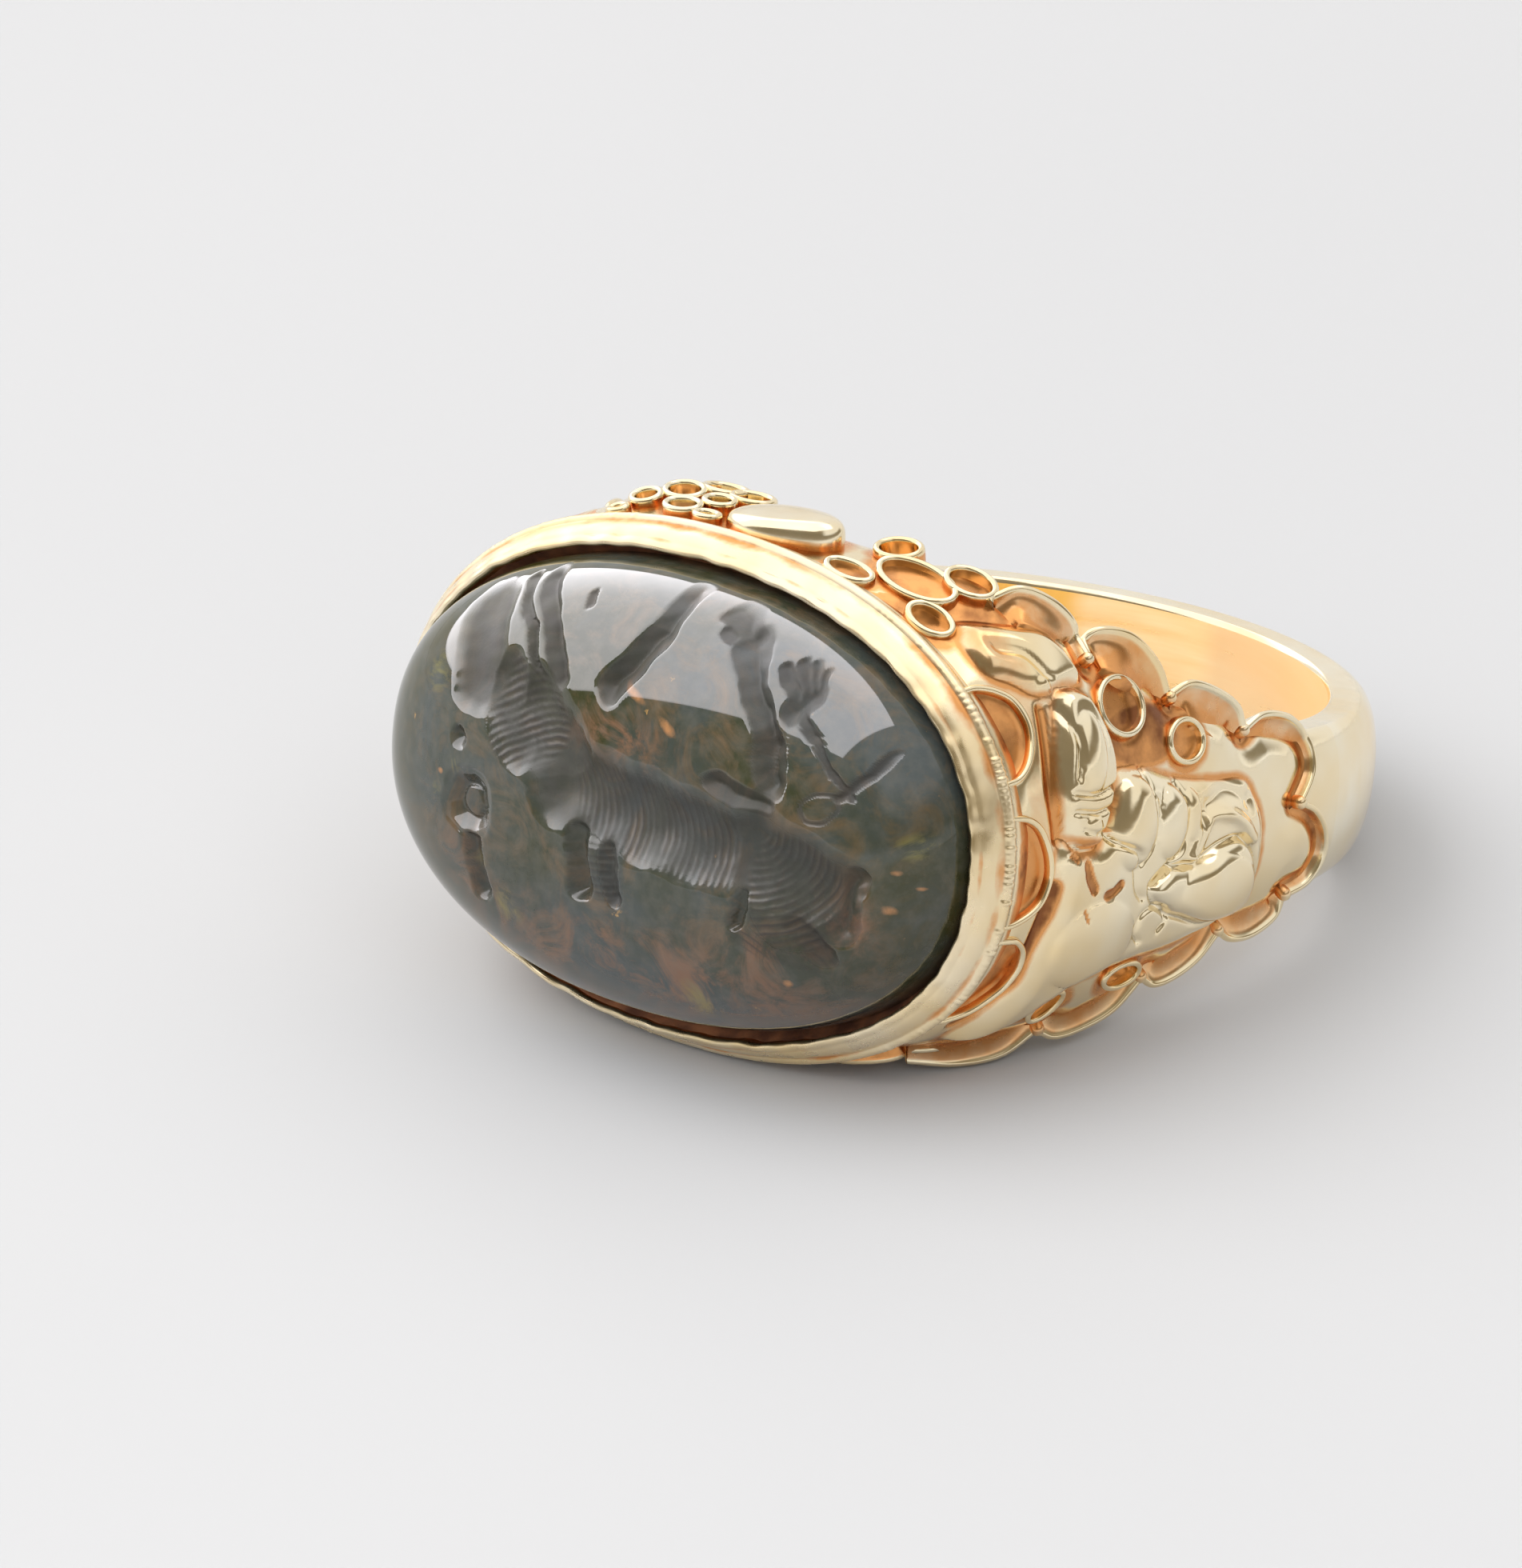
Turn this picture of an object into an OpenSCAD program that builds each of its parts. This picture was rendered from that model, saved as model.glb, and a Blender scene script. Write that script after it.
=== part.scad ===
// Agate ring: an oval agate cabochon with an engraved bull, held by a rubbed
// lip in a gold mount with scalloped, wire-worked shoulders.
//
// Ring frame: the finger runs along Z, the bezel faces -Y and its length lies
// along X. The whole ring is then laid on its side, where it rests on the foot
// of the bezel and on the back of the band.

/* [Finger hole and band] */
// Inner diameter of the finger hole
hole_d = 18; // [17.8:0.1:18.2]
// Width of the band at the middle of its back
band_w = 4.2; // [4:0.1:4.4]
// Thickness of the band at the middle of its width
band_t = 1.5; // [1.4:0.1:1.6]
// Thickness of the band along its side edges
edge_t = 0.75; // [0.7:0.05:0.85]

/* [Shoulders] */
// Width of the ring across the relief on its shoulders
shoulder_l = 22.4; // [22.3:0.1:22.6]

/* [Bezel] */
// Length of the bezel over its beaded edge
bezel_l = 21.2; // [21:0.1:21.4]
// Width of the bezel over its beaded edge
bezel_w = 14.3; // [14.2:0.1:14.5]
// Distance from the middle of the finger hole to the beaded edge
bezel_rise = 12.6; // [12.5:0.1:12.7]
// Height of the rubbed lip above the beaded edge
lip_rise = 0.8; // [0.7:0.1:0.9]
// Width of the sloping rim between beaded edge and stone
rim_w = 0.75; // [0.7:0.05:0.8]
// Exponent of the oval outline, where 2 is an ellipse
oval_n = 2.16; // [2.1:0.02:2.2]

/* [Stone] */
// Gap between stone and rim at the ends of the oval
gap_ends = 0.22; // [0.18:0.02:0.3]
// Gap between stone and rim along the sides of the oval
gap_sides = 0.38; // [0.3:0.02:0.42]
// Height of the dome above the lip
dome_h = 4.1; // [3.9:0.1:4.2]
// Clearance between the stone's back and the floor of its seat
seat_gap = 0.06; // [0.05:0.01:0.1]

/* [Wire work] */
// Thickness of the round wires
wire_d = 0.34; // [0.3:0.02:0.38]
// Height of the scalloped edge above the shoulder
lobe_rise = 0.3; // [0.26:0.02:0.34]

/* [Hidden] */

hole_r = hole_d / 2;
band_r = hole_r + band_t;
wire_r = 0.6 * wire_d;
rim_a = bezel_l / 2;
rim_b = bezel_w / 2;

// The top of the ring's body lies just behind the beaded edge.
top_y = bezel_rise - 0.2;
body_a = rim_a - 0.3;

// Half-width law along Y: back of the band, spread of the shoulders, and the
// gallery behind the bezel, which swells above and is tucked in below.
spread = 5.05;
spread_mid = -5.7;
spread_rate = 0.48;
swell = 0.45;
tuck = 0.40;
swell_mid = -9.6;
swell_len = 1.6;
crown_power = 2.6;

// Seat of the stone
seat_a = rim_a - rim_w;
seat_b = rim_b - rim_w + 0.1;
seat_y = 10.3;
lip_y = bezel_rise + lip_rise;

// The ring as it rests on its side
rest_tilt = -13.07;
rest_lift = 4.262;
rest_shift = 3.497;

function unit(v) = v / norm(v);
function mix(a, b, t) = a + (b - a) * t;

// Half-width of the body along the finger, above the middle (z >= 0) or below
function half_w(y, z) = band_w / 2 + spread / (1 + exp(spread_rate * (y - spread_mid)))
    + (z < 0 ? -tuck : swell) * exp(-pow((y - swell_mid) / swell_len, 2));

// Half-length of the body across the finger, and how much of it is crown
function half_l(y) = y >= 0 ? band_r : band_r + (body_a - band_r) * min(1, -y / top_y);
function crown(y) = y >= 0 ? band_t - edge_t
    : mix(band_t - edge_t, half_l(y), pow(min(1, -y / top_y), crown_power));
function bow(t) = 1 - pow(max(0, 1 - pow(min(1, t), oval_n)), 1 / oval_n);
function reach(y, t) = half_l(y) - crown(y) * bow(t);

function in_body(x, y, z) =
    y > -top_y && abs(z) < half_w(y, z)
    && (y > 0 ? norm([x, y]) : abs(x)) < reach(y, abs(z) / half_w(y, z));

// The body's skin on the ray that leaves the bore wall at angle turn about
// the finger and rises at angle lift
ray_r = hole_r - 0.3;
function on_ray(turn, lift, s) =
    let (r = ray_r + s * cos(lift))
    [r * cos(turn), r * sin(turn), s * sin(lift)];
function find(turn, lift, lo, hi, n) =
    n == 0 ? (lo + hi) / 2 :
    let (m = (lo + hi) / 2, p = on_ray(turn, lift, m))
    in_body(p[0], p[1], p[2]) ? find(turn, lift, m, hi, n - 1)
                              : find(turn, lift, lo, m, n - 1);

// A point on the shoulder's outer face, with its normal
function face(y, z) =
    let (r = reach(y, min(0.95, abs(z) / half_w(y, z))))
    [y > 0 ? sqrt(r * r - y * y) : r, y, z];
function face_n(y, z) =
    unit(cross(face(y + 0.05, z) - face(y - 0.05, z), face(y, z + 0.05) - face(y, z - 0.05)));

// A point on the gallery, the body's long side, with its normal. The lower
// gallery (way = -1) is worked out above the middle and mirrored down.
function side(x, y, way) =
    let (w = max(0, 1 - (half_l(y) - abs(x)) / crown(y)))
    [x, y, half_w(y, way) * pow(1 - pow(w, oval_n), 1 / oval_n)];
function side_n(x, y, way) =
    unit(cross(side(x + 0.05, y, way) - side(x - 0.05, y, way),
               side(x, y + 0.05, way) - side(x, y - 0.05, way)));

// Cast relief of the shoulder: a scrolled mask-like motif of soft bosses.
// Columns: y, z, half-length along y, half-width along z, turn, height
bosses = [
    [-9.75, 2.75, 0.80, 2.20, -6, 0.60],
    [-10.55, 5.00, 0.75, 1.10, 35, 0.45],
    [-8.90, -1.70, 1.80, 1.90, 0, 0.50],
    [-7.95, 0.60, 1.00, 1.00, 0, 0.45],
    [-6.90, 1.40, 1.05, 1.15, 0, 0.55],
    [-5.75, 0.05, 1.00, 1.10, 0, 0.50],
    [-5.30, -1.60, 1.70, 0.85, 12, 0.40],
    [-3.20, -0.65, 1.20, 1.35, 0, 0.80],
    [-3.75, 1.30, 1.20, 0.55, -15, 0.60],
    [-3.65, 0.45, 0.45, 0.40, 0, -0.45],
];
function boss(b, y, z) =
    let (dy = y - b[0], dz = z - b[1],
         u = (dy * cos(b[4]) + dz * sin(b[4])) / b[2],
         v = (dz * cos(b[4]) - dy * sin(b[4])) / b[3])
    b[5] * pow(max(0, 1 - u * u - v * v), 0.8);
function raised(list) = max([for (h = list) max(h, 0)]) + min([for (h = list) min(h, 0)]);
function relief(p) =
    p[1] > 0.5 || abs(p[0]) < 6.5 ? 0 : raised([for (b = bosses) boss(b, p[1], p[2])]);

// Directions of the body's sections: close together at the shoulders
turns = concat(
    [for (i = [0:19]) -50 + i * 2.5],
    [for (i = [0:19]) i * 9],
    [for (i = [0:19]) 180 + i * 2.5],
    [for (i = [0:9]) 230 + i * 8]);
lifts = [for (i = [-10:10]) 90 * i / 10 * (1 - 0.12 * (1 - abs(i) / 10))];

function reversed(v) = [for (k = [len(v) - 1:-1:0]) v[k]];

// A closed skin over rows of points, each row a closed loop
module woven(rows, ring = true) {
    n = len(rows);
    m = len(rows[0]);
    points = [for (row = rows) for (p = row) p];
    skin = [for (i = [0:(ring ? n - 1 : n - 2)]) for (j = [0:m - 1])
        let (a = i * m + j, b = i * m + (j + 1) % m,
             c = ((i + 1) % n) * m + (j + 1) % m, d = ((i + 1) % n) * m + j)
        for (f = [[a, b, c], [a, c, d]]) f];
    caps = ring ? [] : [
        for (j = [1:m - 2]) [0, j + 1, j],
        for (j = [1:m - 2]) [(n - 1) * m, (n - 1) * m + j, (n - 1) * m + j + 1]];
    polyhedron(points = points, faces = concat(skin, caps), convexity = 10);
}

// Band, shoulders and gallery in one cast piece
module body() {
    rows = [for (t = turns) [for (f = lifts)
        let (p = on_ray(t, f, find(t, f, 0, 12, 15)))
        [p[0] + sign(p[0]) * relief(p), p[1], p[2]]]];
    woven(rows);
}

// Oval outline at half-length a and half-width b
oval_steps = 64;
function oval(a, b, y, steps = oval_steps) = [for (i = [0:steps - 1])
    let (q = 360 * (i + 0.5) / steps, c = cos(q), s = sin(q),
         k = pow(pow(abs(c), oval_n) + pow(abs(s), oval_n), -1 / oval_n))
    [a * k * c, -y, b * k * s]];

// Rim of the bezel: foot, beaded edge, groove, sloping band and rubbed lip.
// Columns: distance inwards from the beaded edge, height above the finger hole
rim_profile = [
    [rim_w + 0.20, bezel_rise - 1.3],
    [0.45, bezel_rise - 1.3],
    [0.22, bezel_rise - 0.42],
    [0.03, bezel_rise - 0.22],
    [0.00, bezel_rise + 0.02],
    [0.12, bezel_rise + 0.20],
    [0.26, bezel_rise + 0.16],
    [0.36, bezel_rise + 0.34],
    [0.58, bezel_rise + 0.66],
    [rim_w + 0.20, lip_y],
];
module rim() {
    loops = [for (p = rim_profile) oval(rim_a - p[0], rim_b - p[0], p[1])];
    woven([for (i = [0:oval_steps - 1]) [for (j = [0:len(rim_profile) - 1]) loops[j][i]]]);
}

// Pocket for the stone, open to the front
module seat() {
    rotate([90, 0, 0])
        translate([0, 0, seat_y])
            linear_extrude(height = 5)
                polygon([for (p = oval(seat_a, seat_b, 0)) [p[0], p[2]]]);
}

// Section of a wire that runs along t over a face with normal n: a ridge
wire_sides = 3;
function wire_row(p, t, n) =
    let (e = unit(cross(t, n)), up = unit(cross(e, t)))
    [for (k = [0:wire_sides - 1])
        let (q = 90 + 360 * k / wire_sides)
        p + wire_r * (cos(q) * e + sin(q) * up)];

// Wire ring of half-sizes ru and rv in the tangent plane at p
ring_steps = 8;
module wire_ring(p, n, ru, rv) {
    e = unit(cross(n, [0, 0, 1]));
    f = cross(n, e);
    c = p + n * 0.06;
    woven([for (i = [0:ring_steps - 1])
        let (q = 360 * i / ring_steps)
        wire_row(c + e * ru * cos(q) + f * rv * sin(q),
                 unit(f * rv * cos(q) - e * ru * sin(q)), n)]);
}

// Wire rings on the shoulder. Columns: y, z, half-length, half-width
shoulder_rings = [
    [-7.15, 4.05, 0.72, 0.78],
    [-4.85, 3.00, 0.58, 0.66],
    [-6.45, -3.55, 0.72, 0.70],
    [-8.60, -4.20, 0.66, 0.62],
];
// Wire rings on the gallery, on both sides of the bezel. Columns: x, y, sizes
gallery_rings = [
    [3.30, -11.55, 0.60, 0.55],
    [3.05, -9.95, 0.55, 0.50],
    [4.55, -10.60, 0.85, 0.65],
    [6.10, -11.35, 0.58, 0.52],
    [5.75, -9.75, 0.68, 0.60],
];
// D-shaped loops that stand against the beaded edge. Columns: z, half-length
end_loops = [
    [3.65, 1.25],
    [0.10, 1.35],
    [-3.05, 1.25],
];

// Half-ring of wire on the end wall, its flat side against the beaded edge
module end_loop(z0, half) {
    rows = [for (i = [0:7])
        let (q = 180 * i / 7 - 90, z = z0 + half * sin(q),
             lean = 0.030 * z * z,
             y = -11.95 + lean + 1.15 * cos(q),
             p = face(y, z), n = face_n(y, z),
             dz = half * cos(q), dy = -1.15 * sin(q),
             t = unit(face(y + dy * 0.05, z + dz * 0.05) - face(y - dy * 0.05, z - dz * 0.05)))
        wire_row(p, t, n)];
    woven(rows, ring = false);
}

// Cusps of the shoulder's scalloped edge, from the bezel round the tip and
// back. Columns: y, z
cusps = [
    [-10.60, 6.15],
    [-7.85, 5.10],
    [-5.00, 3.80],
    [-2.00, 2.70],
    [0.25, 0.90],
    [0.30, -1.70],
    [-2.30, -2.80],
    [-4.90, -3.90],
    [-7.70, -5.25],
    [-10.35, -6.10],
];
// How far each lobe bulges past the line between its cusps
lobe_bulge = [0.45, 0.55, 0.55, 0.55, 0.60, 0.50, 0.50, 0.50, 0.45];

// Section of a lobe, from its dish over the raised edge and down its outside.
// Columns: distance outwards from the edge, height above the shoulder
lobe_section = [
    [-0.90, -0.50],
    [-0.90, -0.05],
    [-0.40, 0.04],
    [-0.08, lobe_rise],
    [0.12, lobe_rise - 0.06],
    [0.15, -0.50],
];
function lobe_point(a, b, bulge, s) =
    let (m = mix(a, b, s), d = b - a, out = unit([-d[1], d[0]]))
    m + out * bulge * 4 * s * (1 - s);
module lobe(a, b, bulge) {
    rows = [for (i = [0:5])
        let (s = mix(-0.03, 1.03, i / 5),
             q = lobe_point(a, b, bulge, s),
             q0 = lobe_point(a, b, bulge, s - 0.02), q1 = lobe_point(a, b, bulge, s + 0.02),
             p = face(q[0], q[1]), n = face_n(q[0], q[1]),
             t = unit(face(q1[0], q1[1]) - face(q0[0], q0[1])),
             e = unit(cross(n, t)))
        [for (k = lobe_section) p + e * k[0] + n * k[1]]];
    woven(rows, ring = false);
}

module shoulder_work() {
    for (c = shoulder_rings) wire_ring(face(c[0], c[1]), face_n(c[0], c[1]), c[2], c[3]);
    for (c = end_loops) end_loop(c[0], c[1]);
    for (i = [0:len(cusps) - 2]) lobe(cusps[i], cusps[i + 1], lobe_bulge[i]);
}

// Rings and smooth central knob on one side of the bezel
knob_steps = 12;
knob_h = 0.72;
module gallery_work(way) {
    for (m = [0, 1]) mirror([m, 0, 0])
        for (c = gallery_rings)
            if (way > 0 || c[0] < 6)
                wire_ring(side(c[0], c[1], way), side_n(c[0], c[1], way), c[2], c[3]);
    // Columns: share of the knob's size, share of its height
    steps = [[1, -0.8], [1, 0.2], [0.86, 0.7], [0.5, 1]];
    rise = way < 0 ? knob_h / 4 : knob_h;
    rows = [for (k = steps) [for (i = [0:knob_steps - 1])
        let (q = 360 * i / knob_steps)
        side(1.75 * k[0] * cos(q), -10.7 + 1.25 * k[0] * sin(q), way) + [0, 0, rise * k[1]]]];
    woven(reversed(rows), ring = false);
}

module laid() {
    translate([0, rest_shift, rest_lift]) rotate([rest_tilt, 0, 0]) children();
}

module gold_mount() {
    color([0.86, 0.74, 0.45]) laid() difference() {
        resize([shoulder_l, 0, 0]) difference() {
            union() {
                body();
                rim();
                for (m = [0, 1]) mirror([m, 0, 0]) shoulder_work();
                gallery_work(1);
                mirror([0, 0, 1]) gallery_work(-1);
            }
            seat();
        }
        cylinder(h = 30, r = hole_r, center = true, $fn = 96);
    }
}

// Cuts of the engraved bull, as a seal cutter's wheel leaves them.
// Columns: x and z of the start, x and z of the end, half-width, depth
cuts = [
    [-0.8, 0.5, 4.2, 0.1, 1.45, 0.70],
    [5.3, 0.2, 7.0, -0.6, 1.35, 0.65],
    [-2.4, 2.1, -0.9, 0.8, 1.25, 0.60],
    [-5.4, 4.0, -4.6, 2.4, 0.80, 0.50],
    [-4.4, -0.9, -4.4, -0.9, 0.75, 0.60],
    [-4.0, 5.0, -2.7, 3.3, 0.45, 0.30],
    [0.6, 5.3, -0.4, 3.0, 0.45, 0.35],
    [2.3, 5.3, 4.6, 3.6, 0.45, 0.35],
    [4.6, 3.6, 5.6, 1.9, 0.50, 0.40],
    [-0.3, -0.7, -0.4, -2.2, 0.45, 0.45],
    [7.9, -0.3, 7.6, -1.5, 0.50, 0.45],
    [-4.1, -2.0, -3.8, -3.3, 0.40, 0.35],
];
function cut(c, x, z) =
    let (d = [c[2] - c[0], c[3] - c[1]], l = d * d,
         s = l == 0 ? 0 : max(0, min(1, ([x - c[0], z - c[1]] * d) / l)),
         r = norm([x - c[0] - s * d[0], z - c[1] - s * d[1]]) / c[4])
    c[5] * pow(max(0, 1 - r * r), 1.2);
function engraved(x, z) = max([for (c = cuts) cut(c, x, z)]);

stone_a = seat_a - gap_ends;
stone_b = seat_b - gap_sides;
stone_steps = 64;
dome_rings = 23;
dome_power = 2.3;
stone_back = seat_y + seat_gap;
girdle_y = lip_y - 0.45;

module stone() {
    // Share of the oval on each ring of the dome, from girdle to crown
    shares = [for (i = [0:dome_rings - 1]) 1 - i / dome_rings];
    lower = [
        oval(stone_a - 0.35, stone_b - 0.35, stone_back, stone_steps),
        oval(stone_a - 0.02, stone_b - 0.02, stone_back + 0.35, stone_steps)];
    dome = [for (s = shares)
        let (h = dome_h * pow(1 - pow(s, dome_power), 1 / dome_power))
        [for (p = oval(stone_a * s, stone_b * s, girdle_y + 0.45 * (1 - pow(s, 12)) + h, stone_steps))
            [p[0], p[1] + engraved(p[0], p[2]), p[2]]]];
    color([0.27, 0.31, 0.29]) laid() woven(concat(reversed(dome), reversed(lower)), ring = false);
}

gold_mount();
stone();
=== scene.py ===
"""Agate ring on its side: gold mount with relief shoulders, engraved oval cabochon."""
import math

import bpy
import numpy as np
from mathutils import Matrix, Vector


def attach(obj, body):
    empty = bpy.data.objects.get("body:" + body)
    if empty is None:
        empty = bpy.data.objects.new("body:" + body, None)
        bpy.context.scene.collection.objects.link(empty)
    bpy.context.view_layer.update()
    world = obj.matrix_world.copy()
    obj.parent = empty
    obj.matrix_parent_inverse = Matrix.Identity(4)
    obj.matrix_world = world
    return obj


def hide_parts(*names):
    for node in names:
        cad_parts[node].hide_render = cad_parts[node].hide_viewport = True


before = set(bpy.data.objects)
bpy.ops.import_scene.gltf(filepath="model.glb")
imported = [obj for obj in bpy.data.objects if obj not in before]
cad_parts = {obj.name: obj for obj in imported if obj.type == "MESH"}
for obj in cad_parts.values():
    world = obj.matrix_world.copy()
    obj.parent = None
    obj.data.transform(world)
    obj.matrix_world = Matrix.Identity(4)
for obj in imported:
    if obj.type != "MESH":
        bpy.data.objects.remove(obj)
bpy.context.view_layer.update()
scene = bpy.context.scene

# Sizes in millimetres, in the ring's own frame: the finger runs along Z, the bezel
# faces -Y and its length lies along X. laid() carries points to the floor.
HOLE_R = 9.0
# The band's width, and its thickness in the middle and at the edges
BAND_W, BAND_T, EDGE_T = 4.2, 1.5, 0.75
BAND_R = HOLE_R + BAND_T
# The bezel: half-sizes of its oval, height of its top and of the lip, width of the rim
RIM_A, RIM_B = 10.6, 7.15
BEZEL_RISE, LIP_RISE, RIM_W = 12.6, 0.8, 0.75
LIP_Y = BEZEL_RISE + LIP_RISE
OVAL_N = 2.16
TOP_Y = BEZEL_RISE - 0.2
BODY_A = RIM_A - 0.3
# How the body widens towards the bezel, and swells or tucks in beside it
SPREAD, SPREAD_MID, SPREAD_RATE = 5.05, -5.7, 0.48
SWELL, TUCK, SWELL_MID, SWELL_LEN = 0.45, 0.40, -9.6, 1.6
CROWN_POWER = 2.6
# Share of the half-width that the shoulder's face takes, and the left corner's drop
FACE_SHARE, CORNER_DROP = 0.93, 0.62
SEAT_A, SEAT_B, SEAT_Y = RIM_A - RIM_W, RIM_B - RIM_W + 0.1, 10.3
STONE_A, STONE_B = SEAT_A - 0.22, SEAT_B - 0.38
DOME_H, DOME_POWER = 4.1, 2.3
GIRDLE_Y = LIP_Y - 0.45
# How the ring lies: tilt, and its hole's height and shift
TILT, LIFT, SHIFT = math.radians(-13.07), 4.262, 3.497

TURN = np.array(Matrix.Rotation(TILT, 3, "X"))


def laid(p):
    """Points of the ring's frame, laid on the floor, in metres."""
    return (np.asarray(p, float) @ TURN.T + np.array([0.0, SHIFT, LIFT])) * 0.001


# Small tools
def smooth(lo, hi, v):
    t = np.clip((v - lo) / (hi - lo), 0, 1)
    return t * t * (3 - 2 * t)


def unit(v):
    return v / np.maximum(np.linalg.norm(v, axis=-1, keepdims=True), 1e-12)


def spline(points, closed=False, per=10):
    """Catmull-Rom curve through the points."""
    p = np.asarray(points, float)
    n = len(p)
    if closed:
        q = np.vstack([p[-1:], p, p[:2]])
        spans = n
    else:
        q = np.vstack([2 * p[:1] - p[1:2], p, 2 * p[-1:] - p[-2:-1]])
        spans = n - 1
    t = np.arange(per)[:, None] / per
    out = []
    for i in range(spans):
        a, b, c, d = q[i], q[i + 1], q[i + 2], q[i + 3]
        out.append(0.5 * (2 * b + (c - a) * t + (2 * a - 5 * b + 4 * c - d) * t ** 2
                          + (3 * b - a - 3 * c + d) * t ** 3))
    if not closed:
        out.append(p[-1:])
    return np.vstack(out)


def distance(u, v, line, closed=False):
    """Distance from the points (u, v) to a polyline."""
    p = np.vstack([line, line[:1]]) if closed else line
    best = np.full(u.shape, 1e9)
    for (ax, ay), (bx, by) in zip(p[:-1], p[1:]):
        dx, dy = bx - ax, by - ay
        ll = dx * dx + dy * dy + 1e-12
        t = np.clip(((u - ax) * dx + (v - ay) * dy) / ll, 0, 1)
        best = np.minimum(best, (u - ax - t * dx) ** 2 + (v - ay - t * dy) ** 2)
    return np.sqrt(best)


def within(u, v, line):
    """True where (u, v) lies inside a closed polyline."""
    inside = np.zeros(u.shape, bool)
    for (ax, ay), (bx, by) in zip(line, np.roll(line, -1, axis=0)):
        if ay == by:
            continue
        cross = (ay > v) != (by > v)
        inside ^= cross & (u < (bx - ax) * (v - ay) / (by - ay) + ax)
    return inside


def depth_inside(u, v, line):
    d = distance(u, v, line, closed=True)
    return np.where(within(u, v, line), d, -d)


def pillow(d, width, height):
    """Height of a raised form that rounds up over the given width."""
    q = np.clip((d + 0.03) / width, 0, 1)
    return height * np.sin(q * np.pi / 2)


def ridge(d, width, height):
    return height * np.exp(-(d / width) ** 2)


def round_turn(n):
    """Even angles round a full turn."""
    return np.arange(n) * 2 * np.pi / n


def grid_faces(n, m, wrap_i=False, wrap_j=False, flip=False):
    i = np.arange(n if wrap_i else n - 1)[:, None]
    j = np.arange(m if wrap_j else m - 1)[None, :]
    i2, j2 = (i + 1) % n, (j + 1) % m
    f = np.stack([i * m + j, i2 * m + j, i2 * m + j2, i * m + j2], -1).reshape(-1, 4)
    return f[:, ::-1] if flip else f


def grid_normals(p):
    return unit(np.cross(np.gradient(p, axis=0), np.gradient(p, axis=1)))


def placed(name, data):
    ob = bpy.data.objects.new(name, data)
    scene.collection.objects.link(ob)
    return ob


def piece(name, verts, faces, material, slot, **fields):
    """A mesh piece from ring-frame points, with named per-point fields."""
    mesh = bpy.data.meshes.new(name)
    co = laid(np.asarray(verts, float).reshape(-1, 3)).astype(np.float32)
    faces = np.asarray(faces, np.int32)
    mesh.vertices.add(len(co))
    mesh.vertices.foreach_set("co", co.ravel())
    mesh.loops.add(faces.size)
    mesh.loops.foreach_set("vertex_index", faces.ravel())
    mesh.polygons.add(len(faces))
    mesh.polygons.foreach_set("loop_start", np.arange(0, faces.size, faces.shape[1], dtype=np.int32))
    mesh.update(calc_edges=True)
    mesh.polygons.foreach_set("use_smooth", np.ones(len(faces), bool))
    for key, values in fields.items():
        layer = mesh.attributes.new(key, "FLOAT", "POINT")
        layer.data.foreach_set("value", np.asarray(values, np.float32).ravel())
    mesh.materials.append(material)
    mesh.validate()
    ob = placed(name, mesh)
    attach(ob, "root")
    return ob


# Materials
class Nodes:
    """Short calls for building the node tree of a material or the world."""

    def __init__(self, block):
        block.use_nodes = True
        self.block, self.tree = block, block.node_tree
        self.coord = self.tree.nodes.new("ShaderNodeTexCoord").outputs

    def put(self, socket, value):
        if hasattr(value, "is_output"):
            self.tree.links.new(value, socket)
        else:
            socket.default_value = (*value, 1.0) if isinstance(value, tuple) else value

    def fill(self, node, **values):
        """Links or sets a node's inputs; an underscore stands for a space in a name."""
        for key, value in values.items():
            self.put(node.inputs[key.replace("_", " ")], value)
        return node

    def new(self, kind, **values):
        return self.fill(self.tree.nodes.new("ShaderNode" + kind), **values)

    def attribute(self, name):
        n = self.new("Attribute")
        n.attribute_name = name
        return n.outputs["Fac"]

    def noise(self, scale, detail=4.0, rough=0.55, distortion=0.0, stretch=None):
        vector = self.coord["Object"]
        if stretch:
            m = self.new("Mapping", Vector=vector)
            m.inputs["Scale"].default_value = stretch
            vector = m.outputs["Vector"]
        n = self.new("TexNoise", Vector=vector, Scale=scale, Detail=detail, Roughness=rough,
                     Distortion=distortion)
        return n.outputs["Fac"]

    def math(self, kind, a, b):
        n = self.new("Math")
        n.operation = kind
        self.put(n.inputs[0], a)
        self.put(n.inputs[1], b)
        return n.outputs[0]

    def both(self, a, b):
        return self.math("MULTIPLY", a, b)

    def span(self, value, lo, hi, to_lo=0.0, to_hi=1.0, soft=False):
        n = self.new("MapRange", Value=value, From_Min=lo, From_Max=hi, To_Min=to_lo, To_Max=to_hi)
        if soft:
            n.interpolation_type = "SMOOTHSTEP"
        return n.outputs["Result"]

    def mix(self, share, a, b):
        n = self.new("Mix")
        n.data_type = "RGBA"
        return self.fill(n, Factor=share, A=a, B=b).outputs["Result"]

    def bump(self, height, strength, size, **normal):
        n = self.new("Bump", Height=height, Strength=strength, Distance=size, **normal)
        return n.outputs["Normal"]

    def surface(self, **values):
        """The material, with these inputs of its surface shader."""
        self.fill(next(n for n in self.tree.nodes if n.type == "BSDF_PRINCIPLED"), **values)
        return self.block


def shader(name):
    return Nodes(bpy.data.materials.new(name))


PALE = (0.96, 0.86, 0.64)
YELLOW = (0.92, 0.73, 0.42)
ORANGE = (0.79, 0.37, 0.13)
BROWN = (0.26, 0.10, 0.04)


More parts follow.
